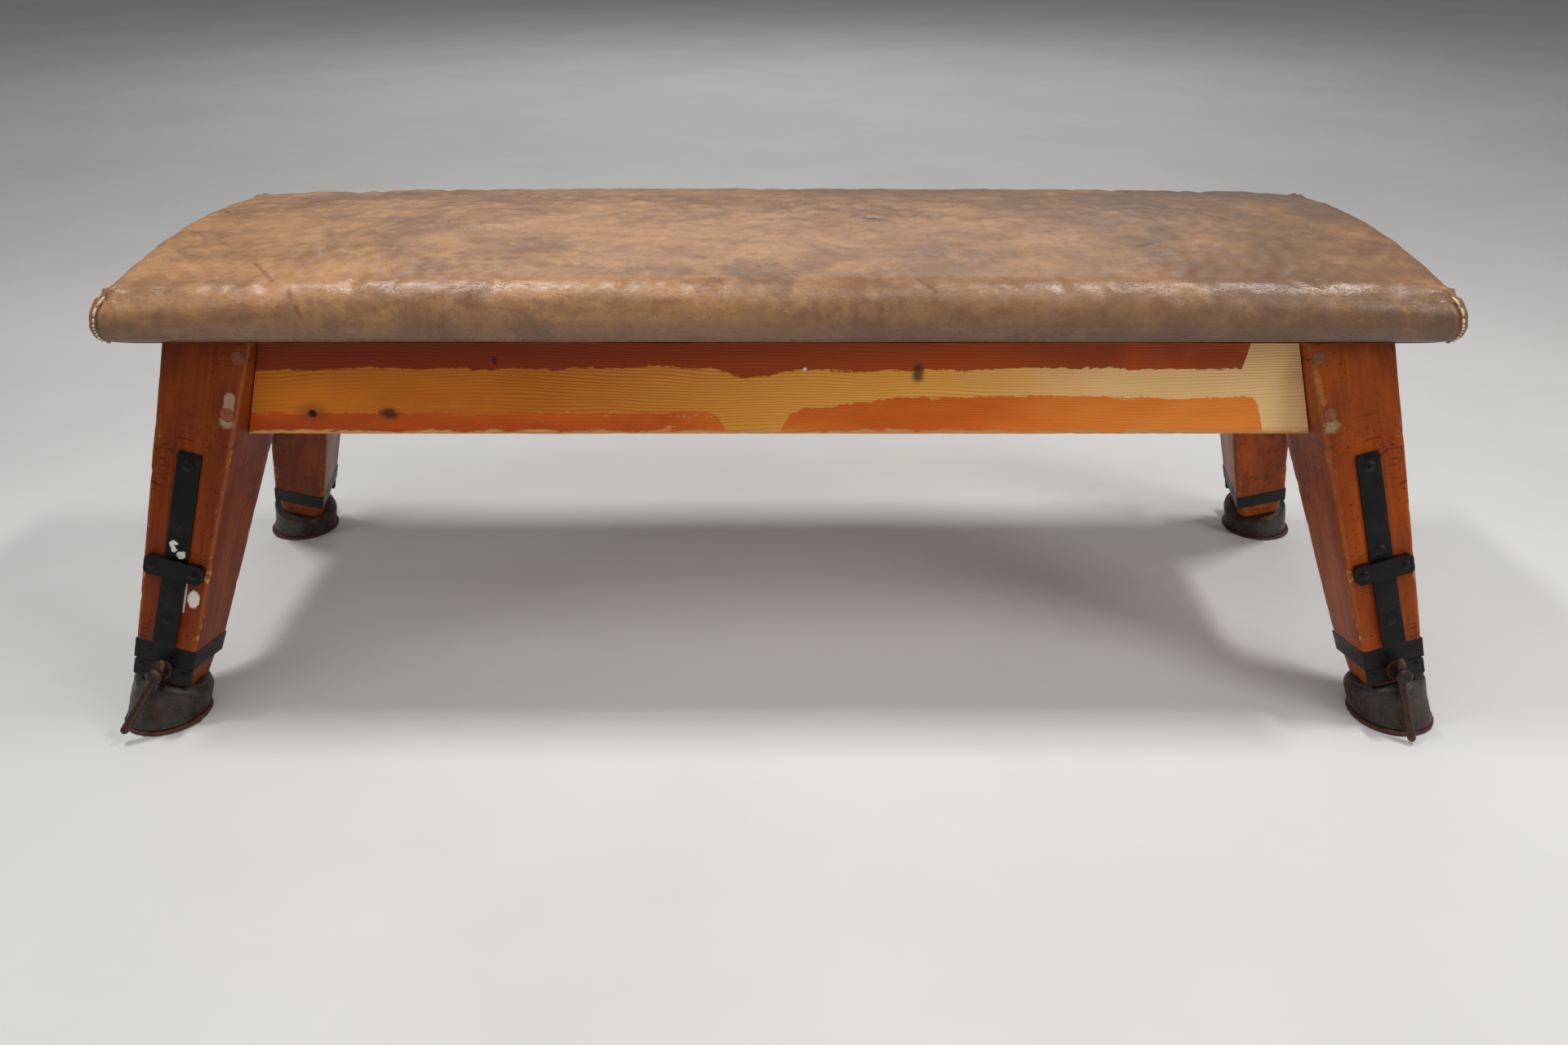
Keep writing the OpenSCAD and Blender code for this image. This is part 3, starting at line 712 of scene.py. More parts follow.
top_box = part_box("leather_cover")
HALF_L = top_box[1].x
HALF_W = top_box[1].y
NOSE_R = 0.037
EDGE_R = 0.015
CORNER_R = 0.014
TURN_UNDER = 0.034
NOSE_TOP = 0.069
CROWN = 0.012
LENGTH_FALL = 0.008
# The corner seams: how far round from the long face, and from where to where down the side
SEAM_TURN = 0.25
SEAM_V0 = 0.45
SEAM_V1 = 2.75
SEAM_REACH = 0.07
STITCHES = 10
EDGE_INSET = 0.0155
# The cloth step: what it is held by, and how far it may swell
HOLD_FADE = 0.03
HOLD_START = 0.12
HOLD_RUN = 0.08
LEAST_HOLD = 0.3
PRESSURE = 2.0
SWELL_CAP = 0.004


def section(v):
    """Inset from the widest line and share of the nose's height at v along a side.

    v runs from 0 at the top of the nose, through 1 at its widest line and 2 at the start of the
    lower edge, to 3 at the underside and 4 at the end of the leather turned under."""
    if v < 1:
        a = math.radians(90 * v)
        return NOSE_R * (1 - math.sin(a)), 1 - NOSE_R / NOSE_TOP * (1 - math.cos(a))
    if v < 2:
        low, high = EDGE_R / NOSE_TOP, 1 - NOSE_R / NOSE_TOP
        return -0.0012 * math.sin(math.pi * (v - 1)), high + (low - high) * (v - 1)
    if v < 3:
        a = math.radians(90 * (v - 2))
        return EDGE_R * (1 - math.cos(a)), EDGE_R / NOSE_TOP * (1 - math.sin(a))
    return EDGE_R + (TURN_UNDER - EDGE_R) * (v - 3), 0.0


def nose_height(x, y):
    """Height of the cover above the underside: crowned across, lowest at the four corners."""
    u = min(1.0, abs(x) / HALF_L)
    w = min(1.0, abs(y) / (HALF_W - NOSE_R))
    fall = LENGTH_FALL * u ** 3 + 0.004 * max(0.0, (u - 0.9) / 0.1)
    return NOSE_TOP - fall * w * w + CROWN * (1 - w * w) * (1 - 0.60 * u ** 4)


def outline_point(half_x, half_y, radius, share, front):
    """A point on one side of a rounded plan outline, from seam to seam as share goes -1 to 1."""
    run, other = (half_x, half_y) if front else (half_y, half_x)
    arc = math.pi / 4 * radius
    straight = run - radius
    s = share * (straight + arc)
    if abs(s) <= straight:
        along, out = s, other
    else:
        a = (abs(s) - straight) / radius if radius > 1e-9 else 0.0
        along = math.copysign(straight + radius * math.sin(a), s)
        out = other - radius + radius * math.cos(a)
    return (along, out) if front else (out, along)


def cover_point(kind, share, v):
    """A point of the cover on one of its four sides."""
    inset, height = section(v)
    radius = CORNER_R * min(1.0, (NOSE_R - inset) / NOSE_R) if v < 1 else CORNER_R
    if v > 2:
        radius = max(0.004, CORNER_R - 0.3 * inset)
    along_x = kind in ("front", "rear")
    x, y = outline_point(HALF_L - inset, HALF_W - inset, radius, share, along_x)
    if kind == "front":
        y = -y
    if kind == "left":
        x = -x
    z = top_box[0].z + height * nose_height(x, y)
    return Vector((x, y, z))


def cover_mesh():
    """The cover as one sheet: the crowned top and four sides that meet in the corner seams."""
    nx, ny = 190, 52
    side_rows = [0.0, 0.12, 0.25, 0.38, 0.5, 0.62, 0.75, 0.88, 1.0, 1.33, 1.66, 2.0, 2.2, 2.4, 2.6, 2.8, 3.0,
                 3.5, 4.0]
    bm = bmesh.new()

    def grid(rows):
        made = [[bm.verts.new(p) for p in row] for row in rows]
        for lower, upper in zip(made, made[1:]):
            for i in range(len(lower) - 1):
                bm.faces.new((lower[i], lower[i + 1], upper[i + 1], upper[i]))

    shares_x = [2 * i / nx - 1 for i in range(nx + 1)]
    shares_y = [2 * i / ny - 1 for i in range(ny + 1)]
    for kind, shares in (("front", shares_x), ("rear", shares_x), ("left", shares_y), ("right", shares_y)):
        grid([[cover_point(kind, share, v) for share in shares] for v in side_rows])
    flat_x, flat_y = HALF_L - NOSE_R, HALF_W - NOSE_R
    rows = []
    for sy in shares_y:
        row = []
        for sx in shares_x:
            x, y = sx * flat_x, sy * flat_y
            row.append(Vector((x, y, top_box[0].z + nose_height(x, y))))
        rows.append(row)
    grid(rows)
    bmesh.ops.remove_doubles(bm, verts=bm.verts, dist=2e-5)
    bmesh.ops.recalc_face_normals(bm, faces=bm.faces)
    mesh = bpy.data.meshes.new("leather_top")
    bm.to_mesh(mesh)
    bm.free()
    if sum(p.normal.z * p.area for p in mesh.polygons) < 0:
        mesh.flip_normals()
    return mesh


def seam_line(corner, v):
    """The point of a corner seam at v along the side, just round from the bench's long face."""
    sign_x, sign_y = CORNERS[corner]
    turned = math.pi / 4 * CORNER_R
    p = cover_point("front", 1 - (1 - SEAM_TURN) * turned / (HALF_L - CORNER_R + turned), v)
    return Vector((sign_x * abs(p.x), sign_y * abs(p.y), p.z))


def seam_outward(corner):
    """The level direction out of a corner seam."""
    angle = math.radians(45 * SEAM_TURN)
    return Vector((CORNERS[corner][0] * math.sin(angle), CORNERS[corner][1] * math.cos(angle), 0))


def front_skin(x, z):
    """The point of the front side of the cover at a height."""
    share = x / (HALF_L - CORNER_R + math.pi / 4 * CORNER_R)
    points = [cover_point("front", share, k / 40) for k in range(121)]
    return min(points, key=lambda p: abs(p.z - z))


def puff(obj, hold, pressure, cap):
    """Lets the cloth swell under pressure, holds the given share of each point and caps its travel."""
    scene = bpy.context.scene
    group = obj.vertex_groups.new(name="hold")
    for index, weight in enumerate(hold):
        if weight > 0:
            group.add([index], weight, "REPLACE")
    cloth = obj.modifiers.new("cloth", "CLOTH")
    settings = cloth.settings
    settings.quality = 5
    settings.mass = 0.5
    settings.tension_stiffness = 35
    settings.compression_stiffness = 35
    settings.shear_stiffness = 18
    settings.bending_stiffness = 3
    settings.use_pressure = True
    settings.uniform_pressure_force = pressure
    settings.vertex_group_mass = "hold"
    settings.shrink_min = -0.012
    settings.effector_weights.gravity = 0
    cloth.point_cache.frame_start = 1
    cloth.point_cache.frame_end = 20
    for step in range(1, 21):
        scene.frame_set(step)
    evaluated = obj.evaluated_get(bpy.context.evaluated_depsgraph_get())
    swollen = [v.co.copy() for v in evaluated.data.vertices]
    obj.modifiers.remove(cloth)
    scene.frame_set(1)
    for vertex, target in zip(obj.data.vertices, swollen):
        move = target - vertex.co
        if move.length > cap:
            move *= cap / move.length
        vertex.co += move


def seam_paths():
    """Close points down each corner seam, for the grooves and the stitches."""
    steps = 60
    return {c: [seam_line(c, SEAM_V0 + (SEAM_V1 - SEAM_V0) * k / steps) for k in range(steps + 1)]
            for c in CORNERS}


def shape_seam(p, path, outward):
    """Pulls a point in at its seam, swells it beside it and fans tucks from its top. Gives its nearness."""
    index, distance = min(((i, (p - q).length) for i, q in enumerate(path)), key=lambda t: t[1])
    p -= outward * 0.0026 * math.exp(-(distance / 0.0032) ** 2)
    p += outward * 0.0010 * math.exp(-((distance - 0.008) / 0.004) ** 2)
    ladder = math.cos(2 * math.pi * index / (len(path) - 1) * STITCHES)
    p -= outward * 0.0007 * max(0.0, ladder) * math.exp(-((distance - 0.003) / 0.004) ** 2)
    top = (p - path[0]).length
    angle = math.atan2(p.y - path[0].y, p.x - path[0].x)
    p.z += 0.0016 * math.sin(7 * angle) * math.exp(-((top - 0.012) / 0.010) ** 2)
    p.z += 0.0032 * math.exp(-((top - 0.010) / 0.008) ** 2) * (1 if p.z > path[0].z else 0)
    return math.exp(-(distance / 0.0028) ** 2)


def build_cover():
    """The leather top: swollen by the cloth step, then lumped and pulled in along its corner seams."""
    cover = finish_mesh("leather_top", cover_mesh(), leather(), 180)
    board_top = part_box("top_board")[1].z
    hold = []
    for vertex in cover.data.vertices:
        # Held at the board and round each corner, where the hide is sewn, and freer towards the middle
        low = 1.0 - eased((vertex.co.z - board_top - 4 * MM) / HOLD_FADE)
        to_end = eased((abs(vertex.co.x) - HALF_L + HOLD_START) / HOLD_RUN)
        to_side = eased((abs(vertex.co.y) - HALF_W + HOLD_START) / HOLD_RUN)
        hold.append(max(LEAST_HOLD, low, to_end * to_side))
    puff(cover, hold, PRESSURE, SWELL_CAP)
    subdivide = cover.modifiers.new("subdivide", "SUBSURF")
    subdivide.levels = subdivide.render_levels = 1
    smooth = bake(cover)
    paths = seam_paths()
    seam_share = []
    for vertex in smooth.vertices:
        p = vertex.co
        # Soft lumps of the stuffing
        up = max(0.0, min(1.0, (p.z - top_box[0].z - 0.03) / 0.03))
        lump = 0.0011 * wobble(p, 7, 1.0) + 0.0005 * wobble(p, 22, 2.0)
        p.z += lump * up
        p.y += 0.0010 * wobble(p, 9, 4.0) * (1 - up) * math.copysign(1, p.y)
        share = 0.0
        near = abs(p.x) > HALF_L - SEAM_REACH and abs(p.y) > HALF_W - SEAM_REACH
        if near:
            corner = next(c for c, s in CORNERS.items() if s[0] * p.x > 0 and s[1] * p.y > 0)
            share = shape_seam(p, paths[corner], seam_outward(corner))
        seam_share.append(share)
    smooth.update()
    smooth.shade_smooth()
    store(cover, "seam", seam_share)
    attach(cover, "bench")
    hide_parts("leather_cover", "padding")


def build_stitches():
    """Waxed thread in long stitches that lie along each corner seam."""
    parts = []
    for corner, path in seam_paths().items():
        outward = seam_outward(corner)
        for k in range(STITCHES):
            a = path[int((k + 0.12) / STITCHES * (len(path) - 1))] + outward * 0.0004
            b = path[int((k + 0.88) / STITCHES * (len(path) - 1))] + outward * 0.0004
            rings = []
            direction = (b - a).normalized()
            side = direction.cross(outward).normalized()
            for i in range(9):
                t = i / 8
                middle = a.lerp(b, t) + outward * (0.0009 * math.sin(math.pi * t) - 0.0004)
                thick = 0.0017 * math.sqrt(max(0.03, math.sin(math.pi * (0.04 + 0.92 * t))))
                lift = direction.cross(side)
                rings.append([middle + side * thick * 0.95 * math.cos(w) + lift * thick * 0.8 * math.sin(w)
                              for w in turn_angles(10)])
            parts.append(loft(rings))
    stitches = join_parts("corner_stitches", parts, thread())
    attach(stitches, "bench")


def build_edge():
    """The dark cut edge of the leather, a thin uneven line under the pad."""
    rings = []
    steps = 480
    for k in range(steps):
        t = 4.0 * k / steps
        kind = ("front", "right", "rear", "left")[int(t)]
        share = 2 * (t - int(t)) - 1
        if kind in ("rear", "left"):
            share = -share
        x, y = outline_point(HALF_L - EDGE_INSET, HALF_W - EDGE_INSET, 0.010, share,
                             kind in ("front", "rear"))
        centre = Vector((-x if kind == "left" else x, -y if kind == "front" else y, 0))
        outward = Vector((centre.x / HALF_L, centre.y / HALF_W, 0))
        flat = Vector({"front": (0, -1, 0), "rear": (0, 1, 0), "right": (1, 0, 0), "left": (-1, 0, 0)}[kind])
        if abs(abs(share) - 1) < 0.03:
            flat = outward.normalized()
        sag = 0.0006 * wobble(centre, 6, 5.0) + 0.0004 * wobble(centre, 40, 6.0)
        centre.z = top_box[0].z + 0.0002 - abs(sag)
        half_w, half_h = 0.0042 + 1.5 * sag, 0.0015
        rings.append([centre + flat * half_w * math.cos(w) + Vector((0, 0, half_h * math.sin(w)))
                      for w in turn_angles(8)])
    rings.append(rings[0])
    points, faces = loft(rings, cap=False)
    mesh = mesh_of("leather_edge", points, faces)
    edge = finish_mesh("leather_edge", mesh, edge_leather())
    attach(edge, "bench")


# ---------------------------------------------------------------- legs

def taper(axis):
    """(a, b) so that a leg's half width along an axis is a + b*s, from the CAD leg's outer edges."""
    points = node_points("leg_rear_right", LEG["rear_right"])
    step_s = ferrule_top_s
    high = max(points, key=lambda p: abs(p[axis]))
    low = max((p for p in points if abs(p.z - step_s) < 0.5 * MM), key=lambda p: abs(p[axis]))
    slope = (abs(high[axis]) - abs(low[axis])) / (high.z - low.z)
    return abs(low[axis]) - slope * low.z, slope


ferrule_top_s = local_box("ferrule_rear_right", LEG["rear_right"])[1].z
leg_low_s = local_box("leg_rear_right", LEG["rear_right"])[0].z
FRAME_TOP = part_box("front_apron")[1].z
front_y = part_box("front_apron")[0].y
half_x_at = taper(0)
half_y_at = taper(1)
REBATE = 0.0035
CHANNEL = 0.031
CHANNEL_TOP_S = 0.325
PIN_HOLE_D = 0.018
SPINDLE_HOLE_D = 0.016
HOLE_DEPTH = 0.03
PLUG_HOLE_R = 0.0083
PLUG_HOLE_DEPTH = 0.003
CUT_OVER = 0.01
LEG_RUN = 0.52


def cutter(name, points, faces, matrix):
    """An object for cutting with, removed again after the cut."""
    return link(name, mesh_of(name, points, faces, matrix))


def round_cutter(radius, n0, n1, x, t, matrix, name):
    """A round cutter that stands out of the leg's face from depth n0 to n1."""
    points, faces = revolve([(NEAR_AXIS, n0), (radius, n0), (radius, n1), (NEAR_AXIS, n1)], 32)
    turned = Matrix.Translation((x, 0, t)) @ Matrix.Rotation(math.radians(-90), 4, "X")
    return cutter(name, points, faces, matrix @ turned)


def plug_places(corner):
    """(x, t) of the two dowel plugs on a leg's face."""
    sign_x, sign_y = CORNERS[corner]
    points = [p for p, v in zip(node_points("dowel_plugs", FACE[corner]),
                                frame["nodes"]["dowel_plugs"].data.vertices)
              if v.co.x * sign_x > 0 and v.co.y * sign_y > 0 and p.y > -MM]
    middle = sum(p.z for p in points) / len(points)
    places = []
    for group in ([p for p in points if p.z > middle], [p for p in points if p.z <= middle]):
        places.append(tuple((min(p[i] for p in group) + max(p[i] for p in group)) / 2 for i in (0, 2)))
    return places


def leg_mesh(corner, seed):
    """The leg's outer surface: worn arrises, shallow dents and a rebated lower end."""
    rings, wear = [], []
    origin_z, ex, ey, ez = leg_origin.z, leg_x.z, leg_y.z, leg_up.z
    (ax, bx), (ay, by) = half_x_at, half_y_at
    levels = [("low", k / 6) for k in range(7)] + [("main", k / 110) for k in range(111)]
    for part, u in levels:
        if part == "low":
            s_mid = leg_low_s + (ferrule_top_s - 0.0005 - leg_low_s) * u
            trim, radius = REBATE, 0.004 + 0.010 * (1 - u) ** 2
        else:
            s_mid = ferrule_top_s + (LEG_RUN - ferrule_top_s) * u
            trim = 0.0
            radius = 0.0034 + 0.0016 * wobble((seed, 0, s_mid), 18, 3.0)
        hx, hy = ax + bx * s_mid - trim, ay + by * s_mid - trim
        ring = []
        for q in rounded_rectangle(hx, hy, radius, arc=5, side_x=12, side_y=10):
            cx, cy = q.x / hx, q.y / hy
            s = s_mid
            if part == "main":
                below = origin_z + cx * ax * ex + cy * ay * ey
                top = (FRAME_TOP - below) / (ez + cx * bx * ex + cy * by * ey)
                s = ferrule_top_s + (top - ferrule_top_s) * u
                hx_s, hy_s = ax + bx * s, ay + by * s
                q = Vector((q.x * hx_s / hx, q.y * hy_s / hy))
            edge_gap = max(hx - abs(q.x), hy - abs(q.y))
            close = math.exp(-(edge_gap / 0.0055) ** 2)
            place = Vector((q.x, q.y, s))
            dent = max(0.0, wobble(place, 34, seed) - 0.35) * 0.0014
            dent += 0.0002 * abs(wobble(place, 90, seed + 1))
            chip = close * max(0.0, wobble(place, 80, seed + 5) - 0.25) * 0.0030
            shrink = dent * (0.25 + 0.75 * close) + chip
            q = q * (1 - shrink / max(q.length, 0.01))
            ring.append(Vector((q.x, q.y, s)))
            wear.append(close if part == "main" else 0.4 * close)
        rings.append(ring)
    points, faces = loft(rings)
    return points, faces, wear


def build_leg(corner, seed):
    """A leg with its channel and its pin, spindle and plug holes cut."""
    points, faces, wear = leg_mesh(corner, seed)
    mesh = mesh_of("leg_wood_" + corner, points, faces, LEG[corner])
    leg = finish_mesh("leg_wood_" + corner, mesh, leg_wood(corner), SHARP_ANGLE)
    store(leg, "wear", wear)
    half = CHANNEL / 2
    box_points = [(x, y, z) for z in (0.0, CHANNEL_TOP_S) for x, y in
                  ((-half, -half), (half, -half), (half, half), (-half, half))]
    box_faces = [(0, 3, 2, 1), (4, 5, 6, 7), (0, 1, 5, 4), (1, 2, 6, 5), (2, 3, 7, 6), (3, 0, 4, 7)]
    cutters = [cutter("cut_channel", box_points, box_faces, LEG[corner])]
    spindle = FACE[corner].inverted() @ Vector(JOINTS["clamp_turn_" + corner]["pos_m"])
    pin_t = latch_pin(corner)[0].z
    cutters.append(round_cutter(SPINDLE_HOLE_D / 2, -HOLE_DEPTH, CUT_OVER, 0, spindle.z, FACE[corner],
                                "cut_spindle"))
    cutters.append(round_cutter(PIN_HOLE_D / 2, -HOLE_DEPTH, CUT_OVER, 0, pin_t, FACE[corner], "cut_pin"))
    for x, t in plug_places(corner):
        cutters.append(round_cutter(PLUG_HOLE_R, -PLUG_HOLE_DEPTH, CUT_OVER, x, t, FACE[corner], "cut_plug"))
    for obj in cutters:
        cut = leg.modifiers.new("cut", "BOOLEAN")
        cut.operation = "DIFFERENCE"
        cut.solver = "EXACT"
        cut.object = obj
    result = bake(leg)
    for obj in cutters:
        bpy.data.objects.remove(obj)
    result.set_sharp_from_angle(angle=math.radians(SHARP_ANGLE))
    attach(leg, "bench")
    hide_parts("leg_" + corner)


# ---------------------------------------------------------------- aprons

def shoulder_corners(node, end):
    """X of an apron's shoulder at its four long edges: low and high Z at low Y, then at high Y."""
    low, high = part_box(node)
    vertices = [v.co for v in frame["nodes"][node].data.vertices]
    outermost = max if end > 0 else min
    return [outermost(v.x for v in vertices if abs(v.y - y) < 0.2 * MM and abs(v.z - z) < 0.2 * MM)
            for y in (low.y, high.y) for z in (low.z, high.z)]


def shoulder_x(corners, u, w):
    """X of a shoulder at shares u of the board's thickness and w of its height."""
    a, b, c, d = corners
    return (a * (1 - w) + b * w) * (1 - u) + (c * (1 - w) + d * w) * u


ARRIS = 0.0012
# Heights that the varnish is worn to, where it ends at the right and where it is rubbed through
UPPER_COAT = 0.44
LOWER_COAT = 0.385
LOWER_COAT_RIGHT = 0.405
COAT_END = 0.55
RUB_MIDDLE = -0.03


def upper_coat(x):
    """Height above which the varnish is left, with a drip at the middle and none past its end."""
    wave = 0.005 * wobble((x, 0, 0), 4, 1.0) + 0.002 * wobble((x, 0, 0), 16, 2.0)
    drip = 0.012 * math.exp(-((x - RUB_MIDDLE) / 0.03) ** 2)
    return UPPER_COAT + wave - drip + 0.15 * eased((x - COAT_END + 0.02) / 0.02)


def lower_coat(x):
    """Height below which the varnish is left: rubbed away at the middle, wider to the right."""
    wave = 0.004 * wobble((x, 0, 0), 5, 3.0) + 0.002 * wobble((x, 0, 0), 18, 4.0)
    right = eased((x - RUB_MIDDLE) / 0.18)
    rubbed = 0.05 * math.exp(-((x - RUB_MIDDLE) / 0.035) ** 4)
    end = 0.06 * eased((x - COAT_END) / 0.03)
    return LOWER_COAT + (LOWER_COAT_RIGHT - LOWER_COAT) * right + wave - rubbed - end


def build_apron(name, node, facing, seed):
    """An apron board: soft upper arrises and a splintered lower edge on its outer face."""
    low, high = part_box(node)
    thick = high.y - low.y
    left, right = shoulder_corners(node, -1), shoulder_corners(node, 1)
    stations = 420
    rings, over, under, edge = [], [], [], []
    face_rows = 34
    for k in range(stations + 1):
        u = k / stations
        x_mid = low.x + (high.x - low.x) * u
        rough = 0.5 + 0.5 * wobble((x_mid, seed, 0), 9, 1.0)
        splinter = max(0.0, wobble((x_mid, seed, 0), 38, 2.0)) * 0.006 * rough
        chip_up = 0.0022 + 0.004 * rough * abs(wobble((x_mid, seed, 0), 85, 3.0)) + splinter
        chip_in = 0.0014 + 0.0022 * rough + 0.5 * splinter
        lift = 0.0007 * abs(wobble((x_mid, seed, 0), 60, 4.0))
        face_top, face_low = high.z - ARRIS, low.z + chip_up
        profile = [(1 - ARRIS / thick, high.z), (1.0, face_top)]
        profile += [(1.0, face_top + (face_low - face_top) * i / face_rows) for i in range(1, face_rows)]
        profile += [(1.0, face_low), (1.0 - 0.45 * chip_in / thick, low.z + 0.35 * chip_up + lift),
                    (1.0 - chip_in / thick, low.z + lift)]
        profile += [(0.5, low.z), (ARRIS / thick, low.z), (0.0, low.z + ARRIS)]
        profile += [(0.0, low.z + ARRIS + (high.z - low.z - 2 * ARRIS) * i / 8) for i in range(1, 9)]
        profile += [(ARRIS / thick, high.z), (0.5, high.z)]
        ring = []
        for across, z in profile:
            y = (low.y + thick * (1 - across)) if facing < 0 else (low.y + thick * across)
            shares = (y - low.y) / thick, (z - low.z) / (high.z - low.z)
            end_left, end_right = shoulder_x(left, *shares), shoulder_x(right, *shares)
            x = end_left + (end_right - end_left) * u
            bow = 0.0005 * wobble((x, y, z), 5, seed)
            ring.append(Vector((x, y + bow * (1 if across in (0.0, 1.0) else 0), z)))
            over.append(z - upper_coat(x))
            under.append(lower_coat(x) - z)
            edge.append(max(0.0, 1 - (z - low.z) / 0.012))
        rings.append(ring)
    points, faces = loft(rings)
    apron = finish_mesh(name, mesh_of(name, points, faces), apron_material, SHARP_ANGLE)
    store(apron, "over", over)
    store(apron, "under", under)
    store(apron, "edge", edge)
    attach(apron, "bench")
    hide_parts(node)


# ---------------------------------------------------------------- straps, pins, levers, feet

PIN_R = 0.005
HEAD_R = 0.0065
LEVER_R = 0.005
SHOULDER = 0.011
SHEET_T = 0.0016
TORN_AT = 0.45


def latch_pin(corner):
    """(outer end, inner end) of the latch pin in the face frame, from the CAD tongue."""
    points = node_points("latch_tongue_" + corner, FACE[corner])
    inner = min(p.y for p in points)
    deep = [p for p in points if p.y < inner + 4 * MM]
    outer = max(p.y for p in points if abs(p.x) < 7 * MM and 0.12 < p.z < 0.19)
    rim = [p for p in points if p.y > outer - 0.3 * MM and abs(p.x) < 7 * MM and 0.12 < p.z < 0.19]
    middle = [sum(p.z for p in group) / len(group) for group in (rim, deep)]
    return Vector((0, outer, middle[0])), Vector((0, inner, middle[1]))


def build_strap(corner, material):
    """The spring strap in one piece, flat on the leg above its bend and standing off below it."""
    top_low, top_high = local_box("strap_plate_" + corner, FACE[corner])
    tongue_low, _ = local_box("latch_tongue_" + corner, FACE[corner])
    pivot = FACE[corner].inverted() @ Vector(JOINTS["latch_flex_" + corner]["pos_m"])
    tail = [p for p in node_points("latch_tongue_" + corner, FACE[corner]) if p.z < tongue_low.z + 3 * MM]
    tail_n = (min(p.y for p in tail) + max(p.y for p in tail)) / 2
    slope = (tail_n - pivot.y) / (pivot.z - tongue_low.z)
    half_w, thick = top_high.x, top_high.y - top_low.y
    rings = []
    levels = 90
    for k in range(levels + 1):
        t = top_high.z + (tongue_low.z - top_high.z) * k / levels
        drop = pivot.z - t
        bend = 0.5 * (drop + math.sqrt(drop * drop + 0.006 ** 2)) * slope
        end = min(k, levels - k)
        trim = (0.0012, 0.0003)[end] if end < 2 else 0.0
        edge = 0.0004 * wobble((half_w, t, 0), 40, 7.0)
        section_points = rounded_rectangle(half_w - trim - abs(edge), thick / 2 - 0.4 * trim, 0.0006, 2, 4,
                                           1)
        rings.append([Vector((q.x, q.y + pivot.y + bend, t)) for q in section_points])
    points, faces = loft(rings)
    strap = finish_mesh("spring_strap_" + corner, mesh_of("strap", points, faces, FACE[corner]), material)
    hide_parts("strap_plate_" + corner, "latch_tongue_" + corner)
    end = FACE[corner] @ Vector((0, pivot.y, pivot.z - 8 * MM))
    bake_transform(strap)


def build_pin(corner, material):
    """The latch pin with its riveted, slightly domed head on the strap."""
    outer, inner = latch_pin(corner)
    axis = outer - inner
    length = axis.length
    profile = [(NEAR_AXIS, 0), (PIN_R - 0.0012, 0), (PIN_R, 0.0014), (PIN_R, length - 0.0016),
               (HEAD_R, length - 0.0013), (HEAD_R - 0.0004, length - 0.0006),
               (HEAD_R - 0.002, length - 0.0001), (NEAR_AXIS, length)]
    turn = Vector((0, 0, 1)).rotation_difference(axis).to_matrix().to_4x4()
    place = FACE[corner] @ Matrix.Translation(inner) @ turn
    pin = join_parts("latch_pin_" + corner, [placed(revolve(profile, 28), place)], material, 30)
    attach(pin, "latch_" + corner)


def build_lever(corner, material):
    """The forged clamp lever: a bent round rod with hammered ends."""
    points = node_points("clamp_lever_" + corner, FACE[corner])
    axis_point = FACE[corner].inverted() @ Vector(JOINTS["clamp_turn_" + corner]["pos_m"])
    tip = min(points, key=lambda p: p.z)
    tip = Vector((tip.x, tip.y, tip.z + LEVER_R))
    upper = max(points, key=lambda p: p.z)
    upper = Vector((upper.x, axis_point.y, upper.z - LEVER_R))
    direction = (upper - axis_point).normalized()
    bend = axis_point - direction * 0.014
    key = [upper, axis_point.lerp(upper, 0.5), axis_point, bend.lerp(axis_point, 0.35), bend,
           bend.lerp(tip, 0.25), bend.lerp(tip, 0.6), tip]
    smooth = []
    for i in range(len(key) - 1):
        p0, p1, p2, p3 = key[max(i - 1, 0)], key[i], key[i + 1], key[min(i + 2, len(key) - 1)]
        for j in range(6):
            t = j / 6
            smooth.append(0.5 * ((2 * p1) + (p2 - p0) * t + (2 * p0 - 5 * p1 + 4 * p2 - p3) * t * t
                                 + (3 * p1 - p0 - 3 * p2 + p3) * t ** 3))
    smooth.append(tip)
    first, last = (smooth[0] - smooth[1]).normalized(), (smooth[-1] - smooth[-2]).normalized()
    rounded = [(0.0045, 0.42), (0.003, 0.75), (0.0012, 0.93)]
    centres = [smooth[0] + first * a for a, _ in rounded] + smooth + [smooth[-1] + last * a
                                                                    for a, _ in reversed(rounded)]
    scales = [b for _, b in rounded] + [1.0] * len(smooth) + [b for _, b in reversed(rounded)]
    rings = []
    sideways = Vector((1, 0, 0))
    for i, (centre, scale) in enumerate(zip(centres, scales)):
        ahead = centres[min(i + 1, len(centres) - 1)] - centres[max(i - 1, 0)]
        ahead.normalize()
        across = (sideways - ahead * ahead.dot(sideways)).normalized()
        other = ahead.cross(across)
        r = LEVER_R * scale * (1 + 0.05 * wobble(centre, 70, 9.0))
        rings.append([centre + (across * math.cos(w) + other * math.sin(w)) * r
                      * (1 + 0.04 * wobble(centre + across * math.cos(w) * 0.01, 120, 3.0))
                      for w in turn_angles(20)])
    part_points, faces = loft(rings)
    lever = finish_mesh("lever_rod_" + corner, mesh_of("lever", part_points, faces, FACE[corner]), material,
                        60)
    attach(lever, "clamp_" + corner)
    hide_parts("clamp_lever_" + corner)


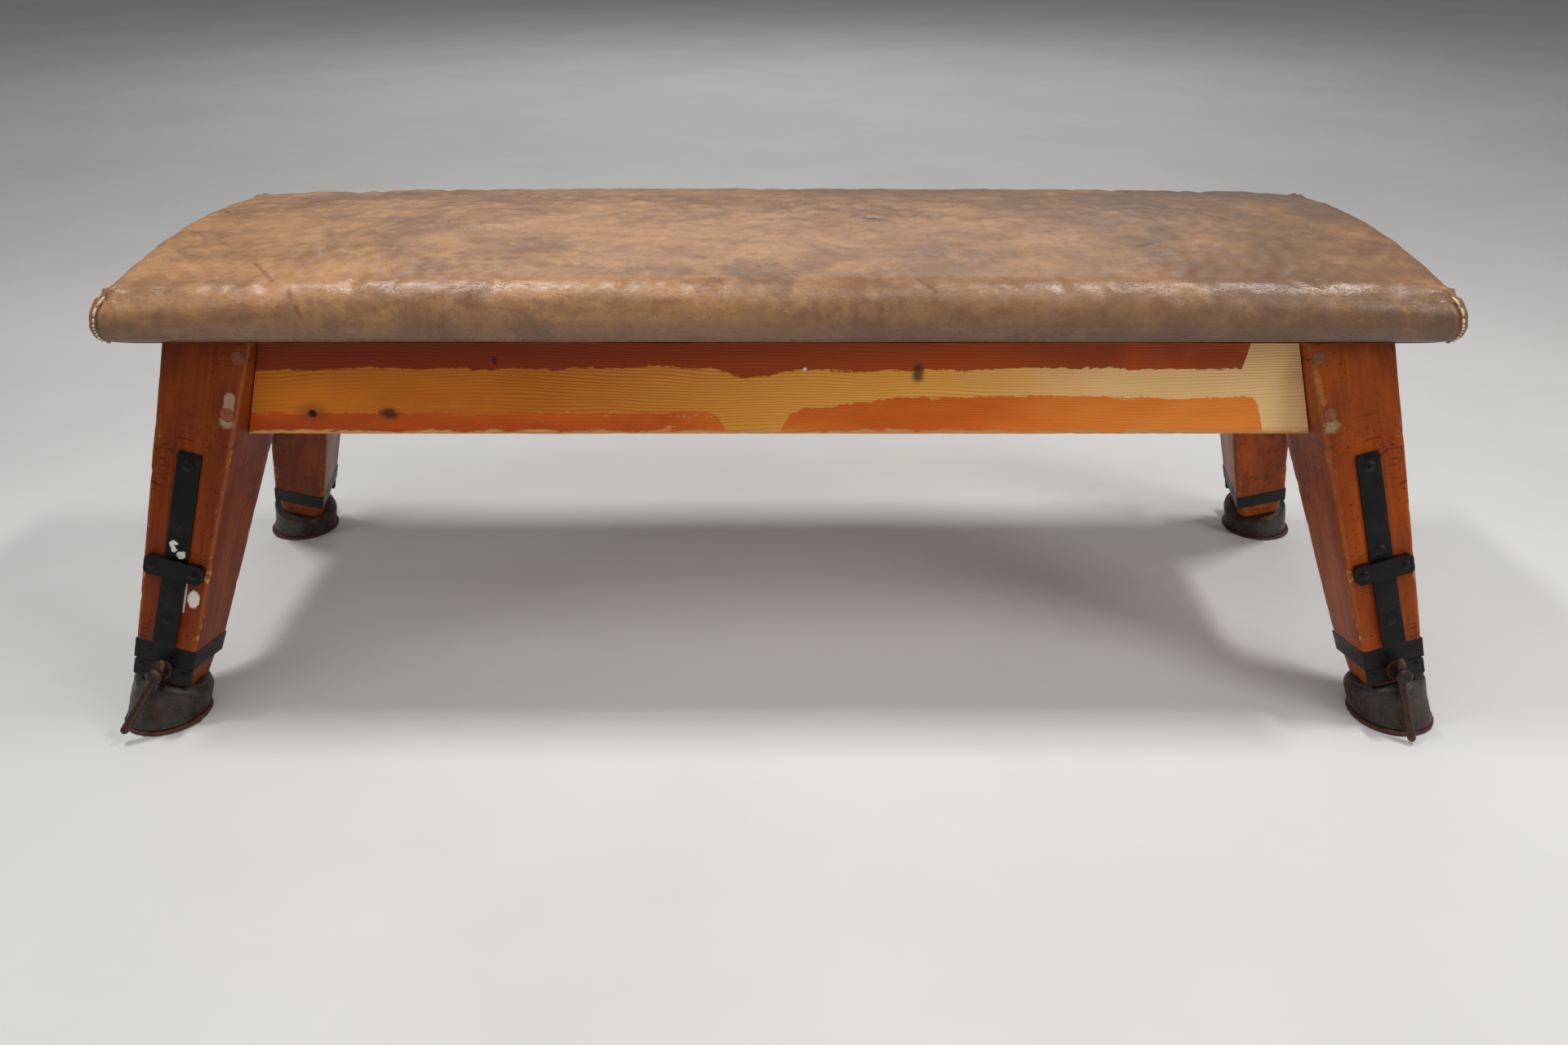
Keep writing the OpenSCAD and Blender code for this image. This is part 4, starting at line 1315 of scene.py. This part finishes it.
def build_shoe(corner, seed):
    """The shoe: sheet metal drawn over a rounded deck, dented, cut level with the sole."""
    high = local_box("shoe_" + corner, LEG[corner])[1]
    deck, radius = high.z, high.x
    hole = CHANNEL / 2
    sole_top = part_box("sole_" + corner)[1].z
    ez, ex, ey = leg_up.z, leg_x.z, leg_y.z
    segments = 120
    profile = [(k / 5, "deck") for k in range(6)] + [(k / 8, "round") for k in range(1, 9)] \
        + [(k / 18, "wall") for k in range(1, 19)]
    rings = []
    for share, part in profile:
        ring = []
        for a in turn_angles(segments):
            c, d = math.cos(a), math.sin(a)
            square = hole / max(abs(c), abs(d))
            if part == "deck":
                r, s = square + (radius - SHOULDER - square) * share, deck
            elif part == "round":
                b = math.radians(90 * share)
                r = radius - SHOULDER + SHOULDER * math.sin(b)
                s = deck - SHOULDER + SHOULDER * math.cos(b)
            else:
                end = (sole_top - leg_origin.z - radius * c * ex - radius * d * ey) / ez
                r, s = radius, (deck - SHOULDER) + (end - deck + SHOULDER) * share
            spread = max(0.0, min(1.0, (r - square) / 0.02))
            place = Vector((r * c, r * d, s))
            dent = 0.0021 * wobble(place, 30, seed) + 0.0007 * wobble(place, 90, seed + 2)
            ridge = 0.0010 * math.sin(s * 420 + 2 * wobble(place, 20, seed + 4)) * max(
                0.0, wobble(place, 18, seed + 6))
            foot = 1 - (share if part == "wall" else 0.0) ** 8
            r += (dent + ridge - 0.0010) * spread * (0.4 + 0.6 * foot)
            if part != "wall":
                s += (0.5 * dent - 0.0008) * spread
            ring.append(Vector((r * c, r * d, s)))
        rings.append(ring)
    points, faces = loft(rings, cap=False)
    mesh = mesh_of("shoe_sheet_" + corner, points, faces, LEG[corner])
    shoe = finish_mesh("shoe_sheet_" + corner, mesh, shoe_metal(corner), 50)
    thicken = shoe.modifiers.new("sheet", "SOLIDIFY")
    thicken.thickness = SHEET_T
    thicken.offset = -1
    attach(shoe, "foot_" + corner)
    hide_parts("shoe_" + corner)


def build_sole(corner, material, seed):
    """The leather sole: a thick disc with a frayed edge, and on the front left sole a torn tag on its inner side.
    """
    low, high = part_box("sole_" + corner)
    centre = (low + high) / 2
    half_x, half_y = (high.x - low.x) / 2, (high.y - low.y) / 2
    sign_x, sign_y = CORNERS[corner]
    thick = high.z - low.z
    segments = 140
    profile = [(0.03, 0.0), (0.90, 0.0), (0.975, 0.0006), (1.0, 0.3 * thick), (0.995, 0.7 * thick),
               (0.975, thick - 0.0002), (0.90, thick), (0.03, thick)]
    rings = []
    for reach, z in profile:
        ring = []
        for a in turn_angles(segments):
            fray = 1 + (0.018 * wobble((math.cos(a), math.sin(a), 0), 9, seed) - 0.006) * (reach > 0.9)
            layer = 0.006 * wobble((math.cos(a), math.sin(a), z * 300), 12, seed + 3) * (reach > 0.97)
            torn = math.exp(-((a - TORN_AT) / 0.09) ** 2) if corner == "front_left" else 0.0
            r = reach * (fray + layer + 0.035 * torn * (reach > 0.95))
            x = centre.x - sign_x * half_x * r * math.cos(a)
            y = centre.y + sign_y * half_y * r * math.sin(a)
            ring.append(Vector((x, y, low.z + z)))
        rings.append(ring)
    points, faces = loft(rings)
    sole = finish_mesh("sole_disc_" + corner, mesh_of("sole", points, faces), material, 40)
    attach(sole, "foot_" + corner)
    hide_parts("sole_" + corner)


# ---------------------------------------------------------------- CAD nodes that stay

def dress(node, material, bevel=0.0, segments=2):
    """Gives a CAD node its material and, where it wants them, worn edges."""
    obj = frame["nodes"][node]
    obj.data.materials.clear()
    obj.data.materials.append(material)
    if bevel:
        worn = obj.modifiers.new("worn_edges", "BEVEL")
        worn.width = bevel
        worn.segments = segments
        worn.limit_method = "ANGLE"
        worn.angle_limit = math.radians(SHARP_ANGLE)


TACK_R = 0.0045
TACK_H = 0.0022
TACK_REACH = 0.012


def build_tacks(material):
    """Domed tack heads along the leather turned under the board."""
    obj = frame["nodes"]["cover_tacks"]
    heads = []
    low_points = [v.co.xy for v in obj.data.vertices if v.co.z < top_box[0].z - 0.5 * MM]
    for p in low_points:
        if not any((p - h).length < TACK_REACH for h in heads):
            heads.append(p)
    places = []
    for h in heads:
        near = [p for p in low_points if (p - h).length < TACK_REACH]
        places.append(Vector((sum(p.x for p in near), sum(p.y for p in near))) / len(near))
    dome = [(TACK_R * math.sin(math.radians(a)), TACK_H * (1 - math.cos(math.radians(a))))
            for a in (20, 40, 60, 75, 90)]
    profile = [(NEAR_AXIS, 0.0)] + dome + [(0.0036, 0.0032), (NEAR_AXIS, 0.0032)]
    parts = [placed(revolve(profile, 16), Matrix.Translation((p.x, p.y, top_box[0].z - TACK_H)))
             for p in places]
    tacks = join_parts("tack_heads", parts, material, 50)
    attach(tacks, "bench")
    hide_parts("cover_tacks")


# ---------------------------------------------------------------- build everything

build_cover()
build_stitches()
build_edge()

apron_material = apron_wood("apron_varnish")
build_apron("front_apron_board", "front_apron", -1, 3.0)
build_apron("rear_apron_board", "rear_apron", 1, 8.0)
pin_material = black_iron("pin_iron")
lever_material = simple_metal("lever_iron", "#2a1813", "#4c2b20", 0.42, 0.35, patch="#5f3a2a")
sole_material = sole_leather()

for number, name in enumerate(CORNERS):
    build_leg(name, 1.0 + 7.3 * number)
    paint = []
    if name == "front_left":
        paint = [((0.005, 0, 0.245), 0.0045, (0.9, 0, 0.8)), ((-0.005, 0, 0.235), 0.0045, (0.9, 0, 0.8))]
    iron = black_iron("black_iron_" + name, FACE[name], paint)
    build_strap(name, iron)
    build_pin(name, pin_material)
    build_lever(name, lever_material)
    build_shoe(name, 4.0 + 3.1 * number)
    build_sole(name, sole_material, 2.0 + 1.7 * number)
    dress("ferrule_" + name, iron, 0.8 * MM)
    dress("keeper_" + name, iron, 1.4 * MM, 3)
    dress("clamp_plate_" + name, iron, 0.8 * MM)
    dress("post_" + name, simple_metal("post_steel_" + name, "#4a4946", "#73706a", 0.38, 0.9,
                                       patch="#5a4535"))
    dress("clamp_spindle_" + name, simple_metal("spindle_" + name, "#241c18", "#3f3028", 0.42, 0.6,
                                                patch="#5b3a28"), 0.8 * MM)

screw_iron = black_iron("screw_iron")
for node in ("keeper_screws", "plate_screws"):
    dress(node, screw_iron)
dress("strap_screws", black_iron("painted_screws", FACE["front_left"],
                                 [((0.005, 0, 0.240), 0.004, (0.8, 0, 1)),
                                  ((-0.005, 0, 0.235), 0.004, (0.8, 0, 1))]))
dress("board_screws", simple_metal("screw_steel", "#6a6a66", "#8b8a84", 0.4, 0.9))
dress("spindle_washers", simple_metal("washer_brass", "#4a3320", "#6e5030", 0.5, 0.6, patch="#35231a"),
      0.5 * MM)
dress("dowel_plugs", plug_wood(), 0.4 * MM)
dress("top_board", plain_pine("board_pine", 0, 1), 0.8 * MM)
dress("cross_battens", plain_pine("batten_pine", 1, 0), 1.2 * MM)
rail_pine = plain_pine("rail_pine", 1, 2)
dress("left_end_rail", rail_pine, 1.2 * MM)
dress("right_end_rail", rail_pine, 1.2 * MM)
build_tacks(simple_metal("tack_iron", "#1d1a18", "#38322d", 0.5, 0.5))


# ---------------------------------------------------------------- stage

def build_stage():
    """A pale floor with a very faint unevenness."""
    mesh = bpy.data.meshes.new("floor")
    reach = 16
    mesh.from_pydata([(-reach, -reach, 0), (reach, -reach, 0), (reach, reach, 0), (-reach, reach, 0)], [],
                     [(0, 1, 2, 3)])
    s = Shade("floor_paint")
    tone = s.noise(1.4, 5, 0.6)
    colour = s.mix(s.step(tone, 0.3, 0.7), "#d2d1cf", "#d9d8d6")
    material = s.finish(colour, 0.62)
    mesh.materials.append(material)
    link("floor", mesh)


def area_light(name, location, target, size, size_y, power, colour=(1, 1, 1)):
    """A rectangular soft light turned towards a target."""
    data = bpy.data.lights.new(name, "AREA")
    data.shape = "RECTANGLE"
    data.size, data.size_y = size, size_y
    data.energy = power
    data.color = colour
    light = link(name, data)
    light.location = location
    light.rotation_euler = (Vector(target) - Vector(location)).to_track_quat("-Z", "Y").to_euler()


build_stage()
area_light("left_window", (-3.6, -2.2, 2.9), (-0.2, 0, 0.3), 1.6, 1.2, 18, (1.0, 0.99, 0.97))
area_light("right_window", (3.6, -2.6, 2.6), (0.3, 0, 0.3), 1.6, 1.2, 60, (1.0, 0.98, 0.95))
area_light("overhead_left", (-0.95, 0.0, 2.8), (-0.6, -0.1, 0), 0.5, 0.16, 31, (1.0, 0.99, 0.97))
area_light("overhead_right", (1.35, 0.0, 2.8), (0.8, -0.1, 0), 0.5, 0.16, 31, (1.0, 0.98, 0.96))
area_light("ceiling", (0, -1.5, 3.0), (0, -1.0, 0), 3.0, 1.2, 25)
area_light("back_wash", (0, 5.0, 3.2), (0, 4.6, 0), 5.0, 1.5, 60)

world = bpy.data.worlds.new("room")
world.use_nodes = True
world.node_tree.nodes["Background"].inputs["Color"].default_value = (0.80, 0.82, 0.85, 1)
world.node_tree.nodes["Background"].inputs["Strength"].default_value = 0.20
bpy.context.scene.world = world
bpy.context.scene.view_settings.view_transform = "Standard"

camera_data = bpy.data.cameras.new("camera")
camera_data.sensor_width = 36
camera_data.lens = 27.42
camera = link("camera", camera_data)
camera.location = (0.006, -1.470, 0.941)
camera.rotation_euler = (math.radians(61.42), 0, 0)
bpy.context.scene.camera = camera
